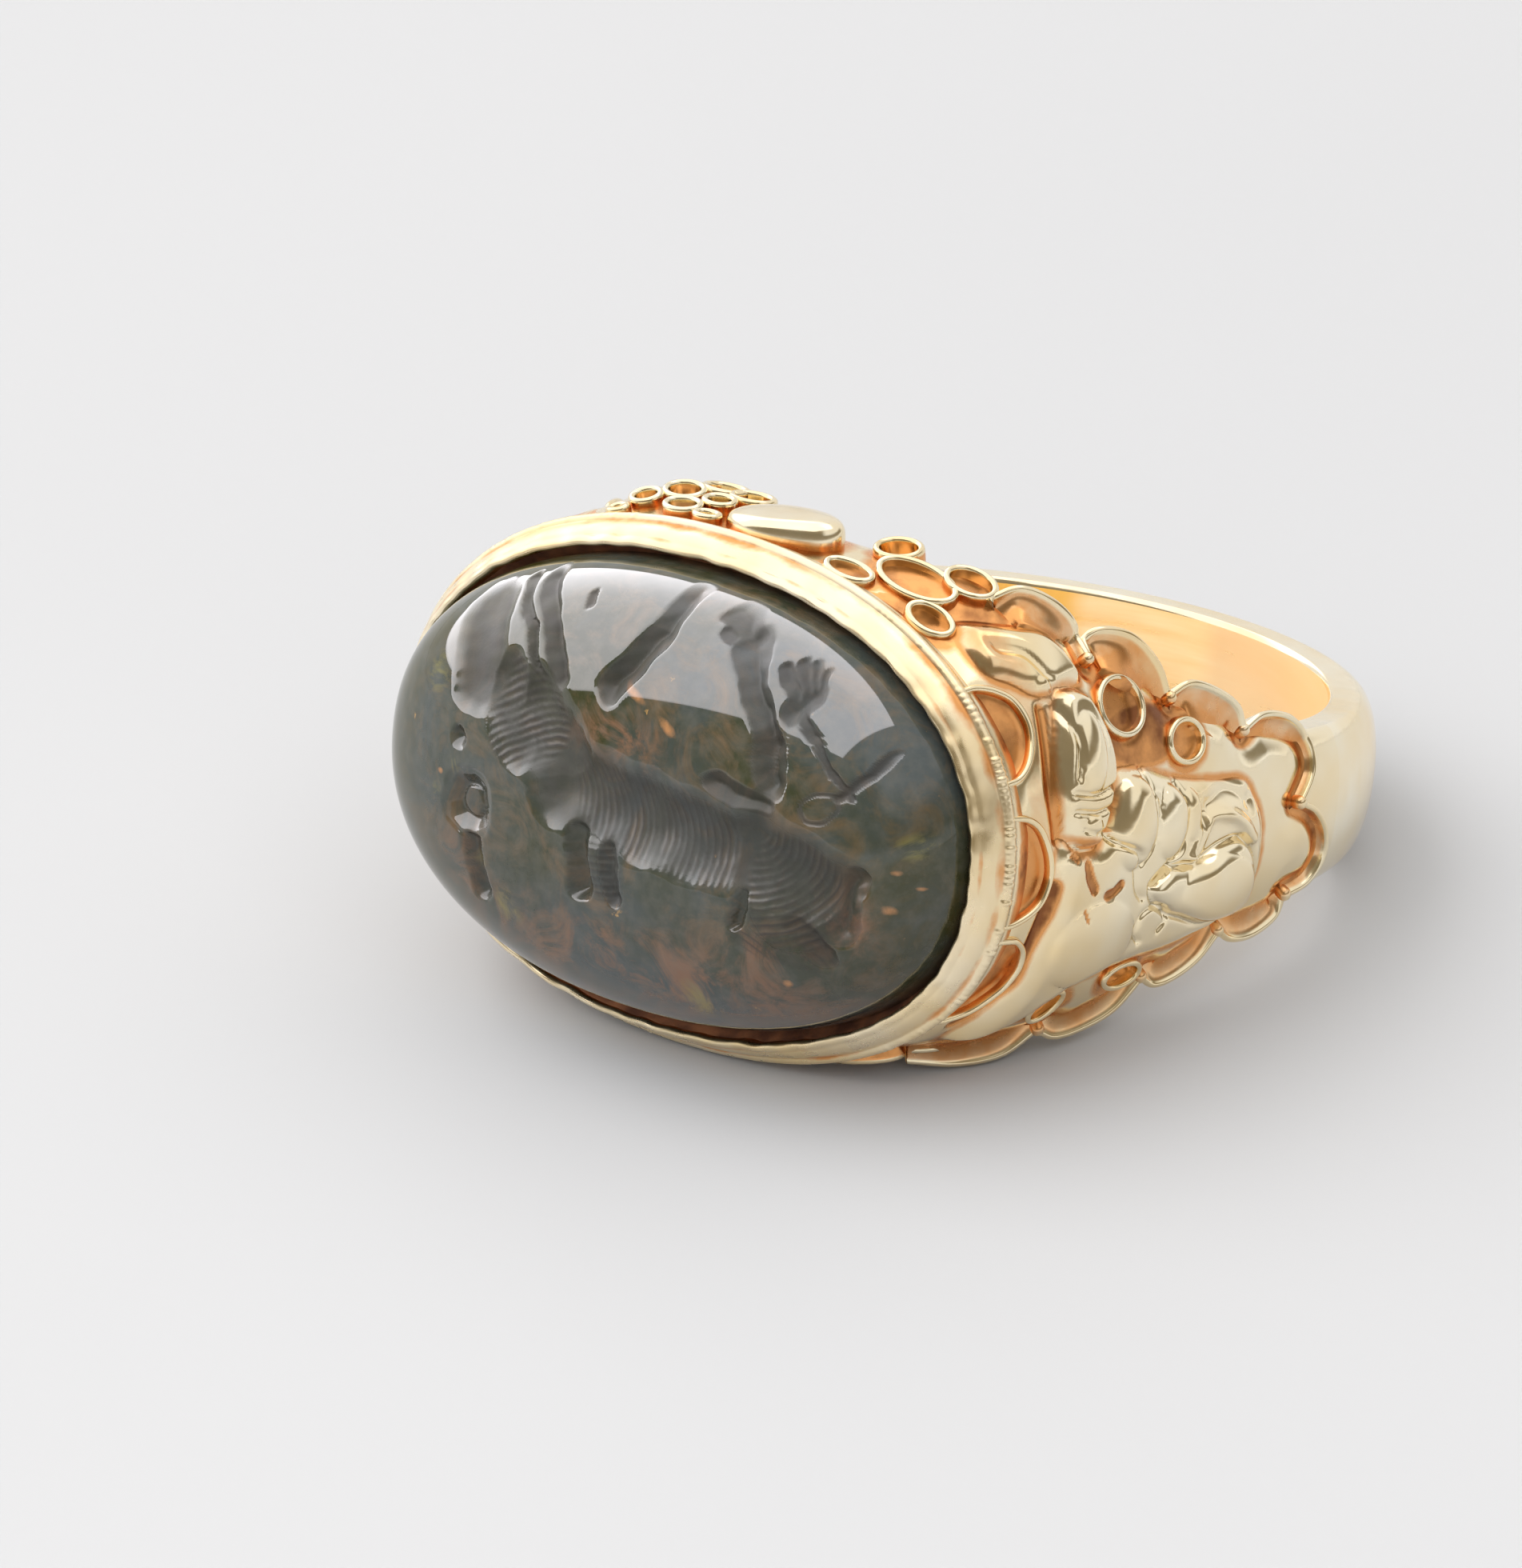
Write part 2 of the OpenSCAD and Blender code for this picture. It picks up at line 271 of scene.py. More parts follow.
def gold(name, ground=PALE, rough=0.13, grain=0.10, mottle=0.22):
    m = shader(name)
    # A per-point field tones the gold orange, then brown: real patina in a few marks, painted shade in
    # hollows, grooves and round the feet of raised parts
    patina = m.attribute("patina")
    blotch = m.span(m.noise(900.0, detail=5.0), 0.3, 0.7, -mottle, mottle)
    edge = m.both(m.math("ADD", patina, blotch), m.span(patina, 0.02, 0.2))
    tone = m.mix(m.span(m.noise(260.0, detail=3.0), 0.35, 0.65), ground, YELLOW)
    tone = m.mix(m.span(edge, 0.15, 0.75), tone, ORANGE)
    tone = m.mix(m.span(edge, 0.95, 1.3), tone, BROWN)
    wear = m.span(m.noise(1500.0, detail=6.0), 0.3, 0.7, rough * 0.7, rough * 1.4)
    normal = m.bump(m.noise(420.0, detail=2.0), 0.35, 0.00006)
    normal = m.bump(m.noise(2600.0, detail=5.0), grain, 0.00003, Normal=normal)
    return m.surface(Base_Color=tone, Metallic=1.0, Normal=normal,
                     Roughness=m.math("ADD", wear, m.both(patina, 0.16)))


def inside_gold():
    """Brushed satin gold of the finger hole."""
    m = shader("gold_inside")
    along = (0.22, 0.22, 2.4)
    streak = m.noise(900.0, stretch=along)
    tone = m.mix(m.span(streak, 0.3, 0.7), (0.98, 0.68, 0.33), (1.0, 0.82, 0.52))
    # Painted reflection of the wall in itself, deep orange, and painted shade, browner, beside it
    tone = m.mix(m.attribute("deep"), tone, (0.91, 0.55, 0.13))
    return m.surface(Base_Color=m.mix(m.attribute("tan"), tone, (0.80, 0.58, 0.34)),
                     Metallic=0.60, Roughness=m.span(streak, 0.3, 0.7, 0.26, 0.38),
                     Normal=m.bump(m.noise(900.0, detail=1.0, stretch=along), 0.15, 0.00001))


GOLD = gold("gold_cast")
GOLD_RIM = gold("gold_rim", ground=(0.96, 0.85, 0.64), rough=0.30, grain=0.08, mottle=0.42)
GOLD_BAND = gold("gold_band", ground=(0.97, 0.89, 0.70), rough=0.14, grain=0.06)
GOLD_WIRE = gold("gold_wire", ground=(0.93, 0.83, 0.60), rough=0.14, grain=0.08)
GOLD_INSIDE = inside_gold()


def bedding_material():
    m = shader("bedding")
    n = m.noise(1300.0, detail=6.0)
    tone = m.mix(m.span(n, 0.38, 0.66), (0.085, 0.034, 0.020), (0.24, 0.095, 0.042))
    return m.surface(Base_Color=tone, Roughness=m.span(n, 0.3, 0.7, 0.45, 0.75),
                     Normal=m.bump(n, 0.8, 0.00006))


def agate_material():
    m = shader("agate")
    cut, ribs = m.attribute("cut"), m.attribute("ribs")
    cloud = m.noise(210.0, detail=7.0, rough=0.62, distortion=0.6)
    moss = m.noise(620.0, detail=8.0, rough=0.7, distortion=1.2)
    fleck = m.noise(1500.0, detail=5.0, rough=0.65)
    grain = m.noise(2400.0)
    drift = m.span(m.noise(330.0, detail=3.0), 0.3, 0.7, -3.2, 3.2)
    wave = m.math("SINE", m.math("ADD", m.attribute("phase"), drift), 0.0)
    stain = m.both(m.attribute("rust"), m.span(moss, 0.42, 0.60))
    glint = m.both(fleck, m.span(cloud, 0.3, 0.6, 1.0, 1.12))
    spots = m.both(m.attribute("spots"), m.span(fleck, 0.3, 0.6, 0.6, 1.3))
    patches = m.both(m.attribute("moss"), m.span(moss, 0.42, 0.62, 0.0, 1.5))
    # Painted shade in the troughs of the fine grooves
    trough_shade = m.both(m.span(wave, -0.9, -0.2, 1.0, 0.0), ribs)
    tone = m.mix(m.span(cloud, 0.36, 0.62), (0.020, 0.022, 0.009), (0.030, 0.037, 0.037))
    for share, colour in (
            (m.span(moss, 0.48, 0.70), (0.068, 0.047, 0.026)),
            # Darker olive towards the dome's left side and right end, partly the stone's own tone and
            # partly painted shade
            (m.both(m.attribute("edge"), m.span(moss, 0.25, 0.55)), (0.022, 0.021, 0.002)),
            (m.math("MINIMUM", stain, 0.8), (0.120, 0.060, 0.034)),
            (m.span(glint, 0.76, 0.84), (0.26, 0.15, 0.05)),
            (m.span(spots, 0.4, 1.1, 0.0, 0.8), (0.28, 0.13, 0.05)),
            (m.span(patches, 0.25, 1.3, 0.0, 0.55), (0.15, 0.14, 0.035)),
            (m.span(grain, 0.40, 0.72, 0.0, 0.28), (0.085, 0.078, 0.064)),
            # The cuts' matt colour, darkened as painted shade
            (m.both(cut, m.span(fleck, 0.3, 0.7, 0.5, 0.9)), (0.025, 0.023, 0.021)),
            (m.both(trough_shade, m.span(moss, 0.36, 0.60, 0.15, 0.85)), (0.022, 0.020, 0.018))):
        tone = m.mix(share, tone, colour)
    grooves = m.both(m.both(wave, ribs), m.span(moss, 0.40, 0.62, 0.2, 1.0))
    normal = m.bump(grooves, 0.42, 0.00003)
    return m.surface(Base_Color=tone, Roughness=m.span(cut, 0.0, 1.0, 0.03, 0.52),
                     # Painted shade: the reflection in the cuts is dimmed
                     Specular_Tint=m.mix(cut, (1.0, 1.0, 1.0), (0.24, 0.24, 0.245)),
                     IOR=1.54, Specular_IOR_Level=0.5,
                     Normal=m.bump(m.both(fleck, cut), 0.4, 0.00004, Normal=normal))


AGATE = agate_material()
BEDDING = bedding_material()


# Body laws
def half_w(y, low):
    y = np.asarray(y, float)
    swell = np.where(low, -TUCK, SWELL) * np.exp(-((y - SWELL_MID) / SWELL_LEN) ** 2)
    return BAND_W / 2 + SPREAD / (1 + np.exp(SPREAD_RATE * (y - SPREAD_MID))) + swell


def half_l(y):
    return np.where(y >= 0, BAND_R, BAND_R + (BODY_A - BAND_R) * np.clip(-y / TOP_Y, 0, 1))


def crown(y):
    t = np.clip(-np.asarray(y, float) / TOP_Y, 0, 1) ** CROWN_POWER
    return (BAND_T - EDGE_T) * (1 - t) + half_l(y) * t


def arc(t, power=OVAL_N):
    """Height of a rounded form of height 1 at the share t of its half-width."""
    return np.maximum(0, 1 - t ** power) ** (1 / power)


def reach(y, t):
    return half_l(y) - crown(y) * (1 - arc(np.clip(t, 0, 1)))


def face(y, z):
    """Point and normal on the outer face of the +X shoulder. Beyond FACE_SHARE of the
    half-width it goes on straight up or down, where the wire edge stands free."""
    def spot(y, z):
        hw = half_w(y, z < 0)
        zc = np.clip(z, -FACE_SHARE * hw, FACE_SHARE * hw)
        r = reach(y, np.abs(zc) / hw)
        x = np.where(y > 0, np.sqrt(np.maximum(r * r - y * y, 0)), r)
        return np.stack([x, y, zc], -1), z - zc
    y, z = np.asarray(y, float), np.asarray(z, float)
    p, over = spot(y, z)
    zi = p[..., 2]
    e, lean, za = 0.04, 0.12, zi * 0.985
    n = unit(np.cross(spot(y + e, zi)[0] - spot(y - e, zi)[0],
                      spot(y, za + e)[0] - spot(y, za - e)[0]))
    p = p + np.stack([-lean * np.abs(over), 0 * over, over], -1)
    return p, n


def side(x, y, way):
    """Point and normal on the gallery above (way 1) or below (way -1)."""
    def spot(x, y):
        w = np.maximum(0, 1 - (half_l(y) - np.abs(x)) / crown(y))
        return np.stack([x, y, half_w(y, way < 0) * arc(w)], -1)
    x, y = np.asarray(x, float), np.asarray(y, float)
    e = 0.04
    p = spot(x, y)
    n = unit(np.cross(spot(x + e, y) - spot(x - e, y), spot(x, y + e) - spot(x, y - e)))
    if way < 0:
        p, n = p * [1, 1, -1], n * [1, 1, -1]
    return p, n


# Shoulder relief: outlines on the shoulder's face, as (y, z) points
LOBES = [
    [(-9.9, 6.45), (-9.2, 6.80), (-8.4, 6.45), (-7.85, 5.80), (-7.9, 5.10)],
    [(-7.9, 5.10), (-7.3, 5.70), (-6.3, 5.55), (-5.45, 4.75), (-5.05, 3.85)],
    [(-5.05, 3.85), (-4.3, 4.15), (-3.3, 3.85), (-2.5, 3.35), (-2.2, 2.70)],
    [(-2.2, 2.70), (-1.4, 3.00), (-0.3, 2.80), (0.45, 2.20), (0.6, 1.40), (0.05, 0.55)],
    [(0.05, 0.55), (0.8, 0.20), (1.4, -0.45), (1.55, -1.20), (1.15, -1.85), (0.3, -2.10)],
    [(0.3, -2.10), (0.1, -2.70), (-0.8, -3.10), (-1.7, -3.10), (-2.3, -2.80)],
    [(-2.3, -2.80), (-2.9, -3.50), (-3.7, -3.95), (-4.4, -4.10), (-4.9, -3.85)],
    [(-4.9, -3.85), (-5.6, -4.70), (-6.5, -5.20), (-7.2, -5.40), (-7.7, -5.20)],
    [(-7.7, -5.20), (-8.4, -5.90), (-9.4, -6.20), (-10.4, -6.20)],
]
LEAF = [(-11.5, 5.55), (-11.1, 6.05), (-10.3, 6.10), (-9.3, 5.90), (-8.75, 5.35), (-8.6, 4.75),
        (-9.2, 4.60), (-10.3, 4.50), (-10.9, 4.75), (-11.4, 4.95)]
STRIP = [(-9.7, 4.50), (-8.85, 4.45), (-8.4, 3.70), (-8.15, 2.80), (-8.25, 2.00), (-8.6, 1.10),
         (-9.0, 0.50), (-9.9, 0.55), (-10.35, 1.30), (-10.45, 2.20), (-10.1, 3.60)]
MASK = [(-8.15, 2.25), (-7.4, 2.42), (-6.8, 2.35), (-5.4, 1.90), (-3.8, 1.65), (-2.5, 1.50),
        (-2.0, 0.95), (-1.62, 0.30), (-1.52, -0.65), (-1.60, -1.30), (-1.85, -1.90), (-2.4, -2.35),
        (-3.6, -2.70), (-5.0, -3.00), (-6.6, -3.15), (-8.2, -3.60), (-9.3, -4.60), (-10.3, -5.20),
        (-11.2, -5.0), (-10.75, -3.90), (-10.60, -3.00), (-10.60, -1.70), (-10.52, -0.45),
        (-10.30, 0.75), (-9.6, 0.70), (-8.7, 0.75)]
EYE = [(-6.6, -0.95), (-6.1, -0.42), (-5.2, -0.38), (-4.6, -0.28), (-3.95, -0.02), (-3.1, 0.10),
       (-2.55, -0.22), (-2.20, -0.82), (-2.15, -1.45), (-2.4, -1.90), (-3.0, -2.15), (-4.0, -2.15),
       (-5.0, -1.85), (-5.9, -1.55)]
BROW = [(-5.0, -0.20), (-4.4, 0.75), (-3.6, 0.78), (-2.9, 0.45), (-2.5, 0.00)]
HOLLOW = [(-4.3, 1.05), (-3.4, 1.25), (-2.5, 0.95)]
NOSTRIL = [(-6.60, -2.34), (-6.86, -2.05), (-6.80, -1.63), (-6.40, -1.41), (-5.88, -1.46),
           (-5.68, -1.85), (-5.88, -2.10)]
# Round bumps: y, z, half-length, half-width, height
BUMPS = [
    (-7.50, 1.00, 0.88, 1.25, 0.36),
    (-6.00, 0.85, 0.62, 1.00, 0.30),
    (-9.30, 3.00, 0.48, 0.95, 0.22),
    (-9.90, 4.55, 0.40, 0.30, 0.12),
    (-4.00, -1.10, 1.55, 0.90, 0.22),
    (-8.60, -2.10, 1.60, 1.20, 0.22),
    (-5.10, 0.95, 0.35, 0.70, 0.12),
    (-9.45, 1.15, 0.35, 0.30, 0.10),
]
# Shallow comma-shaped marks: points, half-width, depth
MARKS = [
    ([(-9.42, 0.10), (-9.30, -0.22), (-9.02, -0.58)], 0.17, 0.09),
    ([(-8.45, -0.80), (-8.22, -0.76), (-7.95, -0.58)], 0.15, 0.09),
    ([(-9.32, -1.12), (-9.20, -1.36)], 0.07, 0.07),
    ([(-10.05, 0.42), (-9.85, 0.28)], 0.07, 0.08),
]
# Chased lines: points, half-width, depth
LINES = [
    ([(-10.1, 2.05), (-9.2, 1.95), (-8.35, 2.15)], 0.07, 0.16),
    ([(-10.1, 1.60), (-9.3, 1.50), (-8.55, 1.60)], 0.07, 0.15),
    ([(-9.8, 1.10), (-9.2, 0.95), (-8.75, 1.05)], 0.07, 0.12),
    ([(-8.45, 2.10), (-8.55, 1.30), (-8.45, 0.70), (-7.60, 0.30), (-7.40, -0.05)], 0.09, 0.20),
    ([(-6.95, 2.30), (-6.93, 1.62), (-6.76, 0.92), (-6.82, 0.32), (-7.2, -0.1)], 0.08, 0.22),
    ([(-5.60, 1.80), (-5.41, 1.10), (-5.44, 0.14), (-5.87, -0.20), (-6.6, -0.75)], 0.09, 0.20),
    ([(-4.75, 1.30), (-4.65, 0.60), (-4.9, -0.10)], 0.08, 0.16),
    ([(-2.95, 0.12), (-2.35, -0.50), (-1.98, -1.20), (-1.98, -1.85), (-2.32, -2.35)], 0.06, 0.12),
    ([(-7.4, -0.2), (-7.2, -0.8), (-6.9, -1.1)], 0.10, 0.10),
    ([(-10.75, 5.45), (-10.2, 5.35), (-9.9, 4.95), (-9.75, 4.65)], 0.16, 0.16),
    ([(-9.9, 4.1), (-9.75, 3.2), (-9.95, 2.4)], 0.07, 0.10),
]
# Wire rings on the shoulder: y, z, half-length, half-width
RINGS = [(-7.32, 3.95, 0.80, 0.88), (-4.88, 2.80, 0.72, 0.58),
         (-6.20, -3.55, 0.72, 0.42), (-8.60, -4.20, 0.62, 0.36)]
# D-shaped loops beside the bezel
LOOPS = [
    [(-12.3, 4.60), (-11.9, 4.66), (-11.45, 4.60), (-11.05, 4.38), (-10.88, 3.95), (-10.91, 3.55),
     (-11.08, 3.15), (-11.35, 2.80), (-11.75, 2.55), (-12.3, 2.45)],
    [(-12.3, 1.62), (-11.6, 1.52), (-11.10, 1.21), (-10.72, 0.58), (-10.57, 0.03), (-10.62, -0.40),
     (-10.82, -0.82), (-11.2, -1.10), (-11.8, -1.30), (-12.3, -1.32)],
    [(-12.3, -1.75), (-11.8, -1.78), (-11.37, -1.86), (-10.95, -2.20), (-10.78, -2.70), (-10.88, -3.20),
     (-11.10, -3.55), (-11.48, -4.00), (-12.0, -4.25), (-12.3, -4.30)],
]
# Grooves painted dark as shade: down the strip's edge, and in the wedge beside the lower loops
SEAM = [(-10.30, 4.12), (-10.48, 3.25), (-10.60, 2.35), (-10.52, 1.59), (-10.40, 0.90)]
WEDGE = [(-10.42, -0.40), (-10.50, -0.95), (-10.68, -1.73), (-10.74, -2.52), (-10.70, -3.13),
         (-10.95, -3.80), (-11.40, -4.50)]
LOBE_LINES = [spline(p) for p in LOBES]
EDGE_LINE = np.vstack([p[:-1] for p in LOBE_LINES[:-1]] + [LOBE_LINES[-1]])
GROUND_LINE = np.vstack([EDGE_LINE, [(-12.6, -6.2), (-12.6, 6.5)]])
LOOP_LINES = [spline(p) for p in LOOPS]


def ring_line(y, z, a, b, n=28):
    q = round_turn(n)
    return np.stack([y + a * np.cos(q), z + b * np.sin(q)], -1)


def relief(y, z, leaf):
    """Height of the cast relief over the shoulder's face, and its dark tone: real patina in the comma
    marks, painted shade in its hollows, grooves and round the feet of raised forms.
    """
    inside = depth_inside(y, z, GROUND_LINE)
    # The scalloped edge: the ground dips in a strip along it, painted darker there as shade
    h = -ridge(inside - 0.28, 0.20, 0.10)
    h += 0.10 * smooth(0.35, 1.1, inside) * smooth(0.9, -0.5, y)
    dark = 1.05 * smooth(0.62, 0.30, inside) * (inside > -0.02)
    ground = np.zeros(y.shape)
    for line, width, height in ((MASK, 0.75, 0.42), (STRIP, 0.42, 0.52), (LEAF, 0.45, leaf)):
        d = depth_inside(y, z, spline(line, closed=True, per=6))
        ground = np.maximum(ground, pillow(d, width, height))
        # Painted shade round the foot of each raised form
        dark = np.maximum(dark, 0.75 * smooth(-0.32, -0.05, d) * smooth(0.10, -0.02, d))
    d = depth_inside(y, z, spline(EYE, closed=True, per=6))
    ground += pillow(d, 0.50, 0.30) - ridge(d, 0.10, 0.12)
    for cy, cz, a, b, height in BUMPS:
        q = np.clip(1 - ((y - cy) / a) ** 2 - ((z - cz) / b) ** 2, 0, 1)
        ground += height * q ** 0.65
    features = [(BROW, 0.17, -0.20), (HOLLOW, 0.30, 0.26), (NOSTRIL, 0.08, 0.12)]
    for line, width, depth in features + LINES:
        ground -= ridge(distance(y, z, spline(line)), width, depth)
    for line, width, depth in MARKS:
        q = distance(y, z, spline(line)) / width
        ground -= depth * smooth(1.15, 0.5, q)
        dark = np.maximum(dark, 1.1 * smooth(1.2, 0.7, q))
    h += ground
    for c in RINGS:
        d = depth_inside(y, z, ring_line(*c))
        h = h * smooth(0.35, -0.25, d) - 0.05 * smooth(-0.1, 0.2, d)
        # Painted shade inside and just round each wire ring
        dark = np.maximum(dark, 0.95 * smooth(-0.50, -0.10, d))
    for line in LOOP_LINES:
        d = depth_inside(y, z, line)
        h = h * smooth(0.15, -0.15, d) - 0.10 * smooth(-0.05, 0.25, d)
        # Painted shade inside each D-loop
        dark = np.maximum(dark, smooth(-0.16, 0.02, d))
    # Painted shade: a deep tone in the hollow between rings, mask and strip, and down the seams
    well = np.hypot((y + 6.6) / 2.0, (z - 3.15) / 0.95)
    dark = np.maximum(dark, 1.14 * smooth(1.15, 0.70, well) * (ground < 0.12))
    for line, width, tone in ((SEAM, 0.20, 0.95), (WEDGE, 0.22, 1.35)):
        d = distance(y, z, spline(line))
        h -= 0.12 * smooth(width * 1.3, 0.3 * width, d)
        dark = np.maximum(dark, tone * smooth(width * 1.4, 0.5 * width, d))
    # Painted shade in a band beside the bezel, over the upper part of the face
    dark = np.maximum(dark, 0.35 * smooth(0.9, 0.3, np.abs(y + 10.9)) * (z > -1.0))
    return h, dark


def half_oval(n):
    """Shares outward and upward along half the body's oval, from the top down."""
    q = np.linspace(np.pi / 2, -np.pi / 2, n)
    return np.maximum(np.cos(q), 0) ** (2 / OVAL_N), np.sign(q) * np.abs(np.sin(q)) ** (2 / OVAL_N)


def band_section(y):
    """Upper flat, crown and lower flat of the body at one y, evenly spaced."""
    hu, hl = float(half_w(y, False)), float(half_w(y, True))
    a, c = float(half_l(y)), float(crown(y))
    flat = max(a - c, 0.0)
    start = math.sqrt(HOLE_R ** 2 - y * y) if -HOLE_R < y <= 0 else (HOLE_R if y > 0 else 0.0)
    flat = max(flat, start if y > -HOLE_R else 0.0)
    out, t = half_oval(600)
    u, z = flat + (a - flat) * out, t * np.where(t > 0, hu, hl)
    s = np.concatenate([[0], np.cumsum(np.hypot(np.diff(u), np.diff(z)))])
    k = np.linspace(0, s[-1], N_ARC)
    arc_u, arc_z = np.interp(k, s, u), np.interp(k, s, z)
    top = np.linspace(start, flat, N_FLAT, endpoint=False)
    uu = np.concatenate([top, arc_u, top[::-1]])
    zz = np.concatenate([np.full(N_FLAT, hu), arc_z, np.full(N_FLAT, -hl)])
    x = np.sqrt(np.maximum(uu * uu - y * y, 0)) if y > 0 else uu
    return np.stack([x, np.full(len(x), y), zz], -1)


def soften(p, edge=0.16):
    """Rounds the edge where the body meets the finger hole."""
    d = np.hypot(p[..., 0], p[..., 1]) - HOLE_R
    q = np.clip(1 - d / edge, 0, 1)
    drop = edge * (1 - np.sqrt(np.maximum(0, 1 - q * q)))
    out = p.copy()
    out[..., 2] -= np.sign(p[..., 2]) * drop * (d < edge)
    return out


def settle(p):
    """The left shoulder's top corner lies lower than the right one's."""
    out = p.copy()
    x, y, z = p[..., 0], p[..., 1], p[..., 2]
    out[..., 2] -= CORNER_DROP * smooth(4.6, 6.4, -x) * smooth(3.0, 5.2, z) * smooth(-3.5, -7.0, y)
    return out


TIP_Y = 2.2
N_FLAT, N_ARC = 34, 300
ROWS = np.concatenate([np.linspace(-12.42, -12.0, 8)[:-1], np.linspace(-12.0, TIP_Y, 222)])
# Rows close together where the finger hole begins
ROWS = np.unique(np.concatenate([ROWS, -HOLE_R + np.array([0.0, 0.0005, 0.002, 0.006, 0.012, 0.025])]))


def shoulder(name, mirror):
    p = np.stack([band_section(float(y)) for y in ROWS])
    n = grid_normals(p)
    n = n * (-1 if n[..., 0].mean() < 0 else 1)
    y, z = p[..., 1], p[..., 2]
    hw = half_w(y, z < 0)
    on_face = np.zeros(p.shape[:2])
    on_face[:, N_FLAT:N_FLAT + N_ARC] = 1
    on_face = on_face * smooth(0.995, FACE_SHARE, np.abs(z) / hw)
    h, dark = relief(y, z, leaf=0.12 if mirror else 0.30)
    h, dark = h * on_face, dark * on_face
    # Painted shade on the gallery ground round its wire rings and round the knob
    top = smooth(4.6, 5.4, np.abs(z)) * smooth(7.9, 7.0, p[..., 0])
    shade = np.zeros(p.shape[:2])
    sx = -p[..., 0] if mirror else p[..., 0]
    for cx, cy, a, b, *_ in GALLERY_LEFT if mirror else GALLERY_RIGHT:
        d = 1 - np.hypot((sx - cx) / a, (y - cy) / b)
        shade = np.maximum(shade, smooth(-0.85, -0.1, d))
    d = np.hypot((sx - KNOB[0]) / 1.8, (y - KNOB[1]) / 1.35)
    shade = np.maximum(shade, 0.8 * smooth(1.35, 1.0, d))
    dark = np.maximum(dark, shade * top * (y < -8.6))
    p = soften(p) + n * h[..., None]
    if mirror:
        p = settle(p * [-1, 1, 1])
    return piece(name, p, grid_faces(*p.shape[:2], flip=not mirror), GOLD, "gold", patina=dark)


# Wire rings on the gallery, a cluster on each side of the knob: x, y, half-length, half-width,
# stand above the gallery, lean towards the bezel
GALLERY_RIGHT = [(3.72, -10.00, 0.64, 0.56, 0.16, 0.35), (3.55, -11.85, 0.72, 0.42, 0.0, 0.0),
                 (5.10, -10.85, 1.20, 0.68, 0.0, 0.0), (6.12, -9.85, 0.72, 0.58, 0.06, 0.1),
                 (6.25, -11.60, 0.68, 0.46, 0.0, 0.0)]
GALLERY_LEFT = [(-3.40, -10.45, 0.55, 0.50, 0.14, 0.2), (-2.75, -9.60, 0.62, 0.55, 0.30, 0.2),
                (-1.65, -9.75, 0.62, 0.50, 0.28, 0.2), (-2.65, -11.40, 0.52, 0.40, 0.10, 0.1),
                (-2.05, -10.60, 0.44, 0.36, 0.18, 0.1), (-1.65, -11.60, 0.36, 0.28, 0.06, 0.0),
                (-4.10, -11.15, 0.42, 0.38, 0.08, 0.1), (-4.50, -11.85, 0.28, 0.22, 0.0, 0.0)]
# The knob between them: x, y, half-length, half-width
KNOB = (0.50, -10.85, 1.82, 1.22)


# Wires
def lengthened(v):
    return np.concatenate([v[:1], v, v[-1:]])


def wall(path, normals, width, up, down, closed, dish=0.0):
    """A wire that stands on a face: a wall with a round top along the path. With
    a dish, its inner side runs down in a hollow curve to the face behind it."""
    k = len(path)
    if closed:
        t = unit(np.roll(path, -1, 0) - np.roll(path, 1, 0))
    else:
        t, path, normals = (lengthened(v) for v in (unit(np.gradient(path, axis=0)), path, normals))
        path[0] -= 0.10 * t[0]
        path[-1] += 0.10 * t[-1]
        k += 2
        if np.ndim(down):
            down = lengthened(down)[:, None]
    e = unit(np.cross(normals, t))
    n = unit(normals)
    w = width / 2
    turn = np.linspace(0, np.pi, 9)
    if np.any(dish):
        bowl, low = lengthened(dish)[:, None], -0.34
        inner = [(-w - bowl, -1.1)] + [
            (-w - bowl * (1 - c), low + (up - w - low) * (1 - math.sqrt(1 - c * c)))
            for c in np.linspace(0.0, 0.98, 8)]
    else:
        inner = [(-w, -down), (-w, (up - w) * 0.2), (-w, (up - w) * 0.7)]
    profile = inner + [(-w * math.cos(q), up - w + w * math.sin(q)) for q in turn] + [(w, -down)]
    rows = np.stack([path + a * e + b * n for a, b in profile], 1)
    faces = grid_faces(k, len(profile), wrap_i=closed)
    if not closed:
        m, at = len(profile), (k - 1) * len(profile)
        caps = [[m - 1 - i, m - 2 - i, i + 1, i] for i in range(m // 2 - 1)]
        caps += [[at + i, at + i + 1, at + m - 2 - i, at + m - 1 - i] for i in range(m // 2 - 1)]
        faces = np.vstack([faces, caps])
    # Painted shade: the wire's inner side is toned darker down towards the face it stands on
    tone = np.zeros(len(profile))
    tone[:len(inner)] = np.linspace(1.05, 0.55, len(inner)) if np.any(dish) else [1.0, 0.9, 0.5]
    return rows, faces, np.tile(tone, k)


def join(parts):
    """One vertex array, face array and tone array from several grids."""
    verts, faces, tones, at = [], [], [], 0
    for rows, f, tone in parts:
        v = rows.reshape(-1, 3)
        verts.append(v)
        faces.append(f + at)
        tones.append(tone)
        at += len(v)
    return np.vstack(verts), np.vstack(faces), np.concatenate(tones)


def flat_ring(p, n, a, b, steps=40):
    """Ring of half-sizes a and b in the plane at p with normal n."""
    axis = 0 if abs(n[0]) < 0.9 else 1
    e = unit(np.eye(3)[axis] - n * n[axis])
    f = np.cross(n, e)
    q = round_turn(steps)[:, None]
    return p + a * np.cos(q) * e + b * np.sin(q) * f, np.repeat(n[None], steps, 0)


